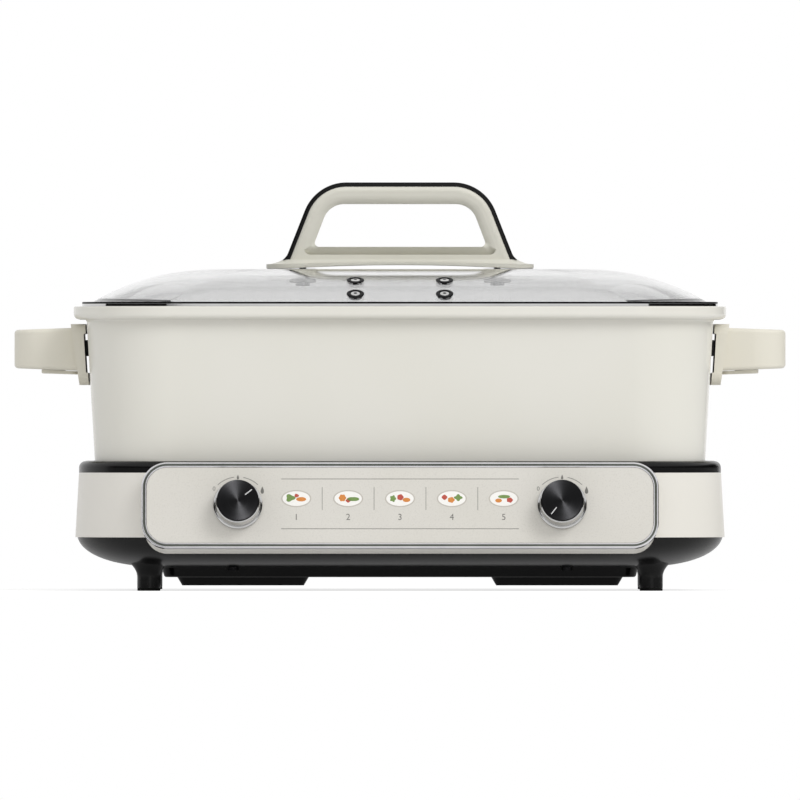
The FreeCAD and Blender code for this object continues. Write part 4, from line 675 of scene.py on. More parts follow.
class Skin:
    """Grids of points that make one piece's mesh.

    Rows that run outwards, up and back inwards give faces that look outwards.
    """

    def __init__(self) -> None:
        """Start with no points and no faces."""
        self.points: list[np.ndarray] = []
        self.faces: list[list[int]] = []
        self.slots: list[int] = []
        self.wraps: list[np.ndarray] = []
        self.count = 0

    def sheet(self, points: np.ndarray, slot: object = 0, wrap_rows: bool = False,
              wrap_columns: bool = True) -> np.ndarray:
        """Span neighbouring rows of points with four-sided faces.

        Args:
            points: rows by columns by three coordinates, in millimetres.
            slot: material number, for all the faces or for each row of them.
            wrap_rows: whether the last row joins the first.
            wrap_columns: whether the last column joins the first.

        Returns:
            The points' numbers, rows by columns.
        """
        rows, columns = points.shape[:2]
        index = self.count + np.arange(rows * columns).reshape(rows, columns)
        grid = np.vstack([index, index[:1]]) if wrap_rows else index
        grid = np.hstack([grid, grid[:, :1]]) if wrap_columns else grid
        quads = np.stack([grid[:-1, :-1], grid[:-1, 1:], grid[1:, 1:], grid[1:, :-1]], axis=-1)
        down, along = np.indices(quads.shape[:2])
        corners = ((0, 0), (1, 0), (1, 1), (0, 1))
        wrap = np.stack([np.stack([along + a, down + b], axis=-1) for a, b in corners], axis=2)
        scale = np.array([grid.shape[1] - 1, grid.shape[0] - 1])
        self.points.append(points.reshape(-1, 3))
        self.faces += quads.reshape(-1, 4).tolist()
        self.slots += np.broadcast_to(np.reshape(slot, (-1, 1)), quads.shape[:2]).ravel().tolist()
        self.wraps.append((wrap / scale).reshape(-1, 2))
        self.count += rows * columns
        return index

    def cap(self, ring: np.ndarray, outward: bool, slot: int = 0) -> None:
        """Close a ring of points with one flat face.

        Args:
            ring: the points' numbers.
            outward: whether the face looks along the seat's out direction or against it.
            slot: material number.
        """
        self.faces.append((ring if outward else ring[::-1]).tolist())
        self.slots.append(slot)
        self.wraps.append(np.zeros((len(ring), 2)))

    def solid(self, seat: Seat, plan: np.ndarray, height: object, slots: object = 0) -> None:
        """Add rings stacked on a seat, closed flat at both ends.

        Args:
            seat: where the rings stand.
            plan: rings by points by two coordinates.
            height: each ring's height, or each point's.
            slots: material number, for all the faces or for each row of them.
        """
        index = self.sheet(seat.place(plan, height), slots)
        ends = np.broadcast_to(np.ravel(slots), (len(plan) - 1,))
        self.cap(index[0], False, int(ends[0]))
        self.cap(index[-1], True, int(ends[-1]))

    def hoop(self, seat: Seat, plan: np.ndarray, height: object, slots: object = 0) -> None:
        """Add rings whose last one joins the first, as round a frame's or a tube's section."""
        self.sheet(seat.place(plan, height), slots, wrap_rows=True)

    def mesh(self, name: str, sharp: float) -> bpy.types.Mesh:
        """Make the mesh.

        Args:
            name: the mesh's name.
            sharp: degrees between two faces from which their edge stays crisp.

        Returns:
            A smooth-shaded mesh in metres with one UV map, which runs along and across each grid.
        """
        mesh = bpy.data.meshes.new(name)
        mesh.from_pydata((np.concatenate(self.points) * MM).tolist(), [], self.faces)
        mesh.polygons.foreach_set("material_index", self.slots)
        mesh.uv_layers.new(name="wrap").data.foreach_set("uv", np.concatenate(self.wraps).ravel())
        mesh.shade_smooth()
        mesh.set_sharp_from_angle(angle=math.radians(sharp))
        return mesh


class Wardrobe:
    """Builds each finish once, and puts it on new pieces and on the model's own nodes."""

    def __init__(self, frame: dict) -> None:
        """Keep the frame's nodes and start with no material built.

        Args:
            frame: what loading the model gave.
        """
        self.nodes: dict = frame["nodes"]
        self.built: dict = {}

    def material(self, finish: object) -> Material:
        """Look up a material.

        Args:
            finish: the finish that makes it on its first use.

        Returns:
            The material.
        """
        if finish not in self.built:
            self.built[finish] = finish.build()
        return self.built[finish]

    def dress(self, finish: object, *names: str) -> None:
        """Give some of the model's own nodes a finish.

        Args:
            finish: what they are made of.
            names: the nodes.
        """
        for name in names:
            mesh = self.nodes[name].data
            mesh.materials.clear()
            mesh.materials.append(self.material(finish))
            LOG.info("%s dressed in %s", name, finish.name)

    def piece(self, name: str, body: str, skin: Skin, finishes: Sequence[object], slot: str,
              stands_for: Sequence[str] = (), sharp: float = 32.0,
              drills: Skin | None = None) -> bpy.types.Object:
        """Make one finished piece and let it ride on a body of the model.

        Args:
            name: the piece's name.
            body: the body that carries it.
            skin: its points and faces.
            finishes: one finish for each material number of the skin.
            slot: the record's material slot; not used.
            stands_for: the model's nodes that it replaces.
            sharp: degrees from which an edge stays crisp.
            drills: closed solids where holes come.

        Returns:
            The piece's object.
        """
        mesh = skin.mesh(name, sharp)
        for finish in finishes:
            mesh.materials.append(self.material(finish))
        piece = stand(name, mesh)
        if drills:
            self.drill(piece, drills, sharp)
        soft = piece.modifiers.new("even_normals", "WEIGHTED_NORMAL")
        soft.keep_sharp = True
        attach(piece, body)
        if stands_for:
            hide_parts(*stands_for)
        LOG.info("%s: %d faces on %s", name, len(piece.data.polygons), body)
        return piece

    def drill(self, piece: bpy.types.Object, drills: Skin, sharp: float) -> None:
        """Cut holes in a piece's mesh and keep their edges crisp.

        Args:
            piece: the piece's object.
            drills: closed solids where the holes come.
            sharp: degrees from which an edge stays crisp.
        """
        tool = stand("drills", drills.mesh("drills", sharp))
        cut = piece.modifiers.new("holes", "BOOLEAN")
        cut.operation, cut.solver, cut.object = "DIFFERENCE", "EXACT", tool
        cut_mesh = bpy.data.meshes.new_from_object(piece.evaluated_get(bpy.context.evaluated_depsgraph_get()))
        piece.modifiers.remove(cut)
        cut_mesh.set_sharp_from_angle(angle=math.radians(sharp))
        piece.data = cut_mesh
        bpy.data.objects.remove(tool)


# ---------------------------------------------------------------- base


@dataclass
class Base:
    """Heated base: black belly on four posts, flared cream band, black ring, and what lies inside.

    The brim and floor guides are the bowl curve's two middle points: how far in, and how far from the brim or
    the floor.
    """

    corner: float = 60.9
    wall: float = 2.4
    floor: float = 14.4
    bowl: float = 42.0
    brim_guide: tuple[float, float] = (1.8, 7.9)
    floor_guide: tuple[float, float] = (14.0, 1.6)
    sump_inset: float = 50.2
    sump_low: float = 8.1
    sump_lean: float = 2.0
    sump_reach: float = 14.0
    lap: float = 2.0
    foot: tuple[float, float] = (150.5, 88.5)
    foot_radius: float = 7.0
    foot_lift: float = 1.5
    flare: float = 4.6
    flare_low: float = 8.4
    pad_radius: float = 5.4
    pad_high: float = 3.0

    def build(self, wardrobe: Wardrobe) -> None:
        """Make the belly and its pads and dress what lies around and inside them.

        Args:
            wardrobe: where finishes come from.
        """
        self.low, self.high = extent("base_bottom_shell")
        self.middle = Seat((0.0, (self.low[1] + self.high[1]) / 2, 0.0))
        self.belly(wardrobe)
        self.pads(wardrobe)
        wardrobe.dress(CREAM_PP, "base_band")
        wardrobe.dress(BLACK_PP, "base_top_frame", "vent_cover_left", "vent_cover_right")
        wardrobe.dress(BLACK_SCREW, "base_screws")
        wardrobe.dress(SHIELD_STEEL, "heat_shield")
        wardrobe.dress(CERAMIC, "tube_bushes")
        wardrobe.dress(SWITCH_PHENOLIC, "thermal_cutouts")
        wardrobe.dress(INLET_NYLON, "power_inlet")
        wardrobe.dress(PLATED_BRASS, "inlet_pins")
        for side in SIDES:
            wardrobe.dress(CAST_ALUMINIUM, f"heater_plate_{side}")
            wardrobe.dress(ELEMENT_SHEATH, f"heater_tube_{side}")
            wardrobe.dress(SWITCH_PHENOLIC, f"heat_switch_{side}")
            wardrobe.dress(SENSOR_STEEL, f"sensor_cup_{side}", f"sensor_plunger_{side}")
            wardrobe.dress(SPRING_STEEL, f"sensor_spring_{side}")

    def belly(self, wardrobe: Wardrobe) -> None:
        """Mould the belly: a deep-cornered bowl with a sump below, and four posts that flare into it.

        The bowl's section is the curve (1 - t)^3 A + 3 (1 - t)^2 t B + 3 (1 - t) t^2 C + t^3 D, from its
        brim A to its floor D; its inside is the same curve moved in and up by about the wall. A post's radius
        grows with the square of the height above its neck.

        Args:
            wardrobe: where finishes come from.
        """
        brim = self.high[2]
        share = np.linspace(0.0, 1.0, 25)[:, None]
        (high_in, down), (low_in, up) = self.brim_guide, self.floor_guide
        guides = np.array([(0.0, brim), (high_in, brim - down), (low_in, self.floor + up),
                           (self.bowl, self.floor)])
        rest = 1 - share
        bowl = np.hstack([rest ** 3, 3 * rest ** 2 * share, 3 * rest * share ** 2, share ** 3]) @ guides
        inside = bowl + (self.wall, 0.9 * self.wall)
        inside[0, 1] = brim
        sump = rounded_path([(self.sump_inset + self.sump_reach, self.sump_low, 0.0),
                             (self.sump_inset + self.sump_lean, self.sump_low, 1.6),
                             (self.sump_inset, self.floor, 1.5), (self.bowl + self.lap, self.floor, 0.0)])
        profile = np.concatenate([sump, bowl[::-1], inside])
        outline = rectangle(self.high[0] - self.low[0], self.high[1] - self.low[1])
        skin = Skin()
        skin.solid(self.middle, nested_rings(outline, self.corner, profile[:, 0], steps=24), profile[:, 1])
        heights = np.linspace(self.flare_low, self.floor + self.wall, 12)
        rise = (heights - self.flare_low) / (heights[-1] - self.flare_low)
        radius = self.foot_radius
        straight = rounded_path([(self.pad_radius + 0.2, self.foot_lift, 0.0), (radius, self.foot_lift, 0.3),
                                 (radius, self.flare_low - 1.0, 0.0)])
        flared = np.column_stack([radius + self.flare * rise ** 2, heights])
        self.at_feet(skin, np.concatenate([straight, flared]))
        wardrobe.piece("belly", "base", skin, [BLACK_PP], "black_pp", ["base_bottom_shell"])

    def pads(self, wardrobe: Wardrobe) -> None:
        """Turn the four rubber pads: a tread about as wide as the post on a narrower plug.

        Args:
            wardrobe: where finishes come from.
        """
        tread = self.foot_radius - 0.1
        profile = rounded_path([
            (tread - 2.0, 0.0, 0.0), (tread, 0.0, 0.4), (tread, self.foot_lift - 0.05, 0.1),
            (self.pad_radius, self.foot_lift, 0.0), (self.pad_radius, self.pad_high, 0.0)])
        skin = Skin()
        self.at_feet(skin, profile)
        wardrobe.piece("rubber_pads", "base", skin, [FOOT_RUBBER], "foot_rubber", ["foot_pads"])

    def at_feet(self, skin: Skin, profile: np.ndarray) -> None:
        """Add a turned solid of this profile at each of the four feet."""
        for x, y in rectangle(2 * self.foot[0], 2 * self.foot[1]):
            skin.solid(self.middle.moved(x, y), *turned(profile))


# ---------------------------------------------------------------- control panel


TILT = math.radians(12.0)
PANEL = Seat((0.0, -129.95, 51.45), up=(0.0, math.sin(TILT), math.cos(TILT)),
             out=(0.0, -math.cos(TILT), math.sin(TILT)))


@dataclass
class ControlPanel:
    """Tilted panel: cream housing, printed plate, bright frame whose groove is coloured a darker metal as
    painted shade.
    """

    long: float = 309.2
    wide: float = 52.4
    corner: float = 15.4
    deep: float = 3.0
    groove: tuple[float, float] = (1.05, 2.15)

    def build(self, wardrobe: Wardrobe) -> None:
        """Dress the housing and the plate, and make the frame round the plate.

        Args:
            wardrobe: where finishes come from.
        """
        wardrobe.dress(CREAM_PP, "control_housing")
        wardrobe.dress(PANEL_PRINT, "panel_fascia")
        profile = rounded_path([
            (0.0, -self.deep, 0.0), (0.0, 0.1, 0.2), (0.35, 0.5, 0.2), (1.0, 0.5, 0.1), (1.2, 0.1, 0.05),
            (2.05, 0.1, 0.05), (2.3, 0.45, 0.1), (2.8, 0.45, 0.15), (3.1, 0.1, 0.1),
            (3.1, -self.deep, 0.0)], steps=3)
        rings = nested_rings(rectangle(self.long, self.wide), self.corner, profile[:, 0], steps=16)
        # faces between these insets get the darker metal: painted shade in the groove
        start, end = self.groove
        groove = ((profile[:, 0] > start) & (profile[:, 0] < end)).astype(int)
        skin = Skin()
        skin.hoop(PANEL, rings, profile[:, 1], groove)
        wardrobe.piece("panel_frame", "base", skin, [BRIGHT_TRIM, GROOVE_PAINTED_SHADE], "bright_trim", ["panel_trim"])


@dataclass
class PanelPrint:
    """Generic print: five oval dishes with plain numbers, and the marks round each knob."""

    film: float = 0.03
    dish: tuple[float, float] = (18.0, 10.4)
    dish_rim: tuple[float, float] = (1.6, 1.4)
    dish_step: float = 31.0
    dish_y: float = 4.0
    rule: tuple[float, float] = (142.0, 0.35)
    rule_y: tuple[float, float] = (0.8, 15.2)
    divider: tuple[float, float] = (0.3, 14.0)
    number_y: float = -7.4
    number_size: float = 5.4
    knob_x: float = 96.9
    mark_radius: float = 17.4
    mark_line: float = 0.35
    arc_half: float = 44.0
    arc_runs: tuple[tuple[int, int], ...] = ((0, 10), (14, 25))
    drops: tuple[tuple[float, float], ...] = ((0.0, 1.5), (57.0, 2.3))
    off_turn: float = 0.96
    off_size: float = 3.6

    def build(self, wardrobe: Wardrobe) -> None:
        """Print the dishes, the numbers, the rules and the marks, each ink as one thin film.

        Args:
            wardrobe: where finishes come from.
        """
        self.wardrobe = wardrobe
        dishes = [PANEL.moved(step * self.dish_step, self.dish_y) for step in range(-2, 3)]
        rims, wells = Skin(), Skin()
        for seat in dishes:
            self.spot(rims, seat, self.lobed(*self.dish))
            self.spot(wells, seat, self.lobed(*np.subtract(self.dish, self.dish_rim)), layer=1)
        self.film_piece("print_dish_rims", rims, PLATE_INK)
        self.film_piece("print_dish_wells", wells, PALE_INK)
        self.food(dishes)
        lines = Skin()
        for side in (-1.0, 1.0):
            self.knob_marks(lines, PANEL.moved(side * self.knob_x, 0.0))
            self.spot(lines, PANEL.moved(0.0, self.rule_y[0] + side * self.rule_y[1]), rectangle(*self.rule))
            for step in (0.5, 1.5):
                seat = PANEL.moved(side * step * self.dish_step, self.dish_y)
                self.spot(lines, seat, rectangle(*self.divider))
        self.film_piece("print_lines", lines, GREY_INK)
        numbers = [(str(step + 3), step * self.dish_step, self.number_y, self.number_size)
                   for step in range(-2, 3)]
        off_x, off_y = self.mark_radius * math.sin(self.off_turn), self.mark_radius * math.cos(self.off_turn)
        offs = [("0", side * self.knob_x - off_x, off_y, self.off_size) for side in (-1.0, 1.0)]
        for count, (text, x, y, size) in enumerate(numbers + offs):
            self.word(f"print_number_{count}", text, PANEL.moved(x, y), size)

    def food(self, dishes: list[Seat]) -> None:
        """Lay one simple lobed shape of each colour on each dish.

        The table gives across, up, long, wide, lobes and depth, dish by dish.

        Args:
            dishes: the dishes' seats.
        """
        helpings = {
            GREEN_INK: [(-3.6, 0.4, 5.2, 4.2, 3, 0.22), (3.0, -0.3, 6.0, 3.0, 2, 0.2),
                        (-4.2, 0.0, 3.4, 3.8, 5, 0.15), (3.8, 0.6, 4.4, 3.6, 4, 0.2),
                        (0.2, 1.2, 6.4, 2.4, 2, 0.12)],
            ORANGE_INK: [(2.4, -0.4, 6.0, 2.6, 1, 0.18), (-3.4, 0.4, 4.2, 4.2, 6, 0.08),
                         (3.4, -0.8, 4.6, 2.6, 1, 0.2), (-0.4, -0.8, 4.0, 3.4, 5, 0.08),
                         (-3.4, -1.2, 4.0, 2.4, 1, 0.15)],
            RED_INK: [(0.2, 1.8, 2.6, 2.2, 3, 0.1), (0.0, -1.2, 2.8, 2.4, 4, 0.1),
                      (0.2, 0.8, 3.8, 3.6, 5, 0.06), (-4.4, 0.8, 3.2, 3.0, 4, 0.08),
                      (3.6, -0.9, 3.6, 3.0, 5, 0.08)],
        }
        for finish, shapes in helpings.items():
            skin = Skin()
            for dish, (x, y, *shape) in zip(dishes, shapes):
                self.spot(skin, dish.moved(x, y), self.lobed(*shape), layer=2)
            self.film_piece(f"print_{finish.name}", skin, finish)

    def knob_marks(self, skin: Skin, seat: Seat) -> None:
        """Print a dial's marks: an arc over the top, a small drop in its gap and a large one past its end.

        A drop is the curve (-0.62 sin a sin(a / 2)^1.4, cos a) times its size.

        Args:
            skin: the ink's film.
            seat: the knob's axis.
        """
        angle = np.radians(90.0 - np.linspace(-self.arc_half, self.arc_half, 25)[::-1])
        for first, last in self.arc_runs:
            run = angle[first:last]
            spoke = np.stack([np.cos(run), np.sin(run)], axis=-1)
            inner, outer = spoke[::-1] * (self.mark_radius - self.mark_line), spoke * self.mark_radius
            self.spot(skin, seat, np.concatenate([inner, outer])[::-1])
        around = np.linspace(0.0, 2.0 * np.pi, 36, endpoint=False)
        drop = np.stack([-0.62 * np.sin(around) * np.sin(around / 2) ** 1.4, np.cos(around)], axis=-1)
        for turn, size in self.drops:
            way = math.radians(90.0 - turn)
            middle = seat.moved(self.mark_radius * math.cos(way), self.mark_radius * math.sin(way) - 0.2)
            self.spot(skin, middle, drop * size)

    def lobed(self, long: float, wide: float, lobes: int = 0, depth: float = 0.0) -> np.ndarray:
        """Closed curve whose radius swells in lobes round an oval.

        Args:
            long: the oval's length.
            wide: its width.
            lobes: how many swellings.
            depth: how far they swell, as a share of the radius.

        Returns:
            Points by two coordinates.
        """
        angle = np.linspace(0.0, 2.0 * np.pi, 72, endpoint=False)
        swell = 1.0 + depth * np.cos(lobes * angle)
        return np.stack([long / 2 * swell * np.cos(angle), wide / 2 * swell * np.sin(angle)], axis=-1)

    def spot(self, skin: Skin, seat: Seat, outline: np.ndarray, layer: int = 0) -> None:
        """Add a flat film with the outline's shape, on top of earlier layers."""
        floor = layer * self.film
        skin.solid(seat, np.stack([outline, outline]), [floor - 0.01, floor + self.film])

    def film_piece(self, name: str, skin: Skin, finish: Ink) -> None:
        """Make one ink's film."""
        self.wardrobe.piece(name, "base", skin, [finish], "panel_print")

    def word(self, name: str, text: str, seat: Seat, size: float) -> None:
        """Print a plain number.

        Args:
            name: the piece's name.
            text: its digits.
            seat: where its middle comes.
            size: height of the type in millimetres.
        """
        curve = bpy.data.curves.new(name, "FONT")
        curve.body, curve.size, curve.extrude = text, size, self.film
        curve.align_x, curve.align_y = "CENTER", "CENTER"
        typed = bpy.data.objects.new(name, curve)
        mesh = bpy.data.meshes.new_from_object(typed)
        bpy.data.objects.remove(typed)
        points = np.empty(len(mesh.vertices) * 3)
        mesh.vertices.foreach_get("co", points)
        points = points.reshape(-1, 3)
        mesh.vertices.foreach_set("co", (seat.place(points[:, :2], points[:, 2]) * MM).ravel())
        mesh.materials.clear()
        mesh.materials.append(self.wardrobe.material(GREY_INK))
        piece = stand(name, mesh)
        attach(piece, "base")
        LOG.info("%s: number %s", name, text)


@dataclass
class Knob:
    """Turned knob: chrome skirt with a foot ring, dark spun face, silver pointer."""

    side: str
    x: float
    pointer: float
    faces: bpy.types.Collection
    gap: float = 0.4
    foot_radius: float = 14.75
    foot_high: float = 2.2
    waist: float = 13.1
    cap_radius: float = 12.6
    cap_low: float = 12.6
    high: float = 14.4
    cap_edge: float = 0.5
    bore: float = 3.1
    mark: tuple[float, float] = (5.4, 0.7)
    mark_out: float = 8.1

    def build(self, wardrobe: Wardrobe) -> None:
        """Make the skirt, the face and the pointer about the knob's axis.

        Args:
            wardrobe: where finishes come from.
        """
        seat, name = PANEL.moved(self.x, 0.0), f"knob_{self.side}"
        wardrobe.dress(ZINC_STEEL, f"{name}_shaft")
        throat = self.foot_high + 0.3
        skirt = rounded_path([
            (self.bore, self.gap, 0.2), (self.foot_radius, self.gap, 0.3),
            (self.foot_radius, self.foot_high, 0.7), (self.waist + 0.6, throat, 0.4),
            (self.waist, self.cap_low - 0.7, 0.4),
            (self.cap_radius - 0.5, self.cap_low, 0.2), (self.bore, self.cap_low, 0.2)], steps=4, closed=True)
        skin = Skin()
        skin.hoop(seat, *turned(skirt, 96))
        wardrobe.piece(f"{name}_chrome", name, skin, [KNOB_CHROME], "knob_chrome", [f"{name}_skirt"],
                       sharp=40.0)
        side = rounded_path([
            (self.cap_radius - 1.0, self.cap_low, 0.0), (self.cap_radius, self.cap_low, 0.2),
            (self.cap_radius, self.high, self.cap_edge), (self.cap_radius - 1.5, self.high, 0.0)])
        radii = np.linspace(side[-1, 0], 0.2, 14)[1:]
        face = np.concatenate([side, np.column_stack([radii, np.full(13, self.high)])])
        skin = Skin()
        skin.solid(seat, *turned(face, 96))
        self.faces.objects.link(
            wardrobe.piece(f"{name}_face", name, skin, [KNOB_FACE], "knob_face", [f"{name}_cap"], sharp=50.0))
        way = math.radians(90.0 - self.pointer)
        right, up = math.cos(way), math.sin(way)
        bar = nested_rings(rectangle(*self.mark, self.mark_out), 0.3, [0.0, 0.0, 0.12], steps=5)
        across, along = bar[..., 1], bar[..., 0]
        bar = np.stack([along * right - across * up, along * up + across * right], axis=-1)
        skin = Skin()
        skin.solid(seat, bar, [self.high - 0.3, self.high - 0.02, self.high + 0.04])
        wardrobe.piece(f"{name}_pointer", name, skin, [KNOB_MARK], "knob_mark", [f"{name}_mark"])


# ---------------------------------------------------------------- pan


@dataclass
class Pan:
    """Deep pan: drafted walls, a thick turned-out lip, enamel outside and a dark lining inside."""

    corner: float = 56.1
    lip_thick: float = 7.7
    lip_reach: float = 7.7
    draft: float = 3.33
    wall: float = 3.0
    floor: float = 4.0
    foot_round: float = 4.0
    well_round: float = 11.0
    lip_round: float = 3.2
    lip_edge: float = 0.8
    neck_round: float = 1.8
    flat: float = 26.0

    def build(self, wardrobe: Wardrobe) -> None:
        """Make the pan as one closed surface from the middle of its foot to the middle of its floor.

        The wall leans out by height times the tangent of the draft, outside and inside.

        Args:
            wardrobe: where finishes come from.
        """
        low, high = extent("pot_pan")
        lean = math.tan(math.radians(self.draft))
        foot, brim = low[2], high[2]
        under = brim - self.lip_thick
        foot_inset = self.lip_reach + (under - foot) * lean
        mouth_inset = foot_inset - (brim - foot) * lean + self.wall
        well = foot + self.floor
        well_inset = mouth_inset + (brim - well) * lean
        profile = rounded_path([
            (foot_inset + self.flat, foot, 0.0), (foot_inset, foot, self.foot_round),
            (self.lip_reach, under, self.neck_round), (0.0, under, self.lip_round),
            (0.0, brim, self.lip_edge), (mouth_inset, brim, self.lip_edge),
            (well_inset, well, self.well_round), (well_inset + self.flat, well, 0.0)], steps=8)
        outline = rectangle(high[0] - low[0], high[1] - low[1])
        rings = nested_rings(outline, self.corner, profile[:, 0], steps=24)
        lined = np.arange(len(profile) - 1) > np.flatnonzero(profile[:, 0] <= mouth_inset + 0.1)[-1] - 1
        skin = Skin()
        skin.solid(Seat((0.0, (low[1] + high[1]) / 2, 0.0)), rings, profile[:, 1], lined.astype(int))
        wardrobe.piece("pan", "pot", skin, [PAN_ENAMEL, NONSTICK], "pan_enamel", ["pot_pan"])


@dataclass
class SideHandles:
    """The two moulded side handles on their steel brackets, with the ledged cover under each lug."""

    reach: float = 22.0
    slope: float = 0.7
    ledge: float = 2.0
    corner: float = 4.6
    round: float = 0.6
    lug_lean: float = 0.041
    plug_gap: float = 0.4

    def build(self, wardrobe: Wardrobe) -> None:
        """Dress the lugs, brackets and screws and make both covers.

        Args:
            wardrobe: where finishes come from.
        """
        wardrobe.dress(CREAM_HANDLE, "side_handle_left", "side_handle_right")
        wardrobe.dress(BRACKET_STEEL, "handle_bracket_left", "handle_bracket_right")
        wardrobe.dress(ZINC_STEEL, "handle_screws")
        for side_name, side in zip(SIDES, (-1.0, 1.0)):
            self.cover(wardrobe, side_name, side)

    def cover(self, wardrobe: Wardrobe, side_name: str, side: float) -> None:
        """Make the plate that closes a lug's hollow, butts against the flange and follows the lug's lean.

        Its underside rises towards the lug's end by the share of its length, and so does its top.

        Args:
            wardrobe: where finishes come from.
            side_name: left or right.
            side: -1 or 1.
        """
        node = "side_handle_cover_" + side_name
        low, high = extent(node)
        end = max(abs(low[0]), abs(high[0]))
        x = side * (end - self.reach / 2)
        path = rounded_path([(1.0, 0.0, 0.0), (0.0, 0.0, self.round), (0.0, self.ledge, 0.0)], steps=4)
        rings = nested_rings(rectangle(self.reach, high[1] - low[1], x), self.corner, path[:, 0], steps=6)
        outward = (np.abs(rings[..., 0]) - (end - self.reach)) / self.reach
        height = path[:, 1][:, None]
        lean = self.lug_lean * self.reach
        rise = height + (self.slope + (lean - self.slope) * height / self.ledge) * outward
        skin = Skin()
        middle_y = (low[1] + high[1]) / 2
        skin.solid(Seat((0.0, middle_y, low[2])), rings, rise)
        long, wide = (high - low)[:2] - self.plug_gap
        plug = nested_rings(rectangle(long, wide, (low[0] + high[0]) / 2), self.corner,
                            [0.0, 0.0, self.round], steps=6)
        skin.solid(Seat((0.0, middle_y, 0.0)), plug, [low[2] + self.ledge, high[2] - self.round, high[2]])
        wardrobe.piece("grip_cover_" + side_name, "pot", skin, [CREAM_HANDLE], "cream_handle", [node])


# ---------------------------------------------------------------- lid


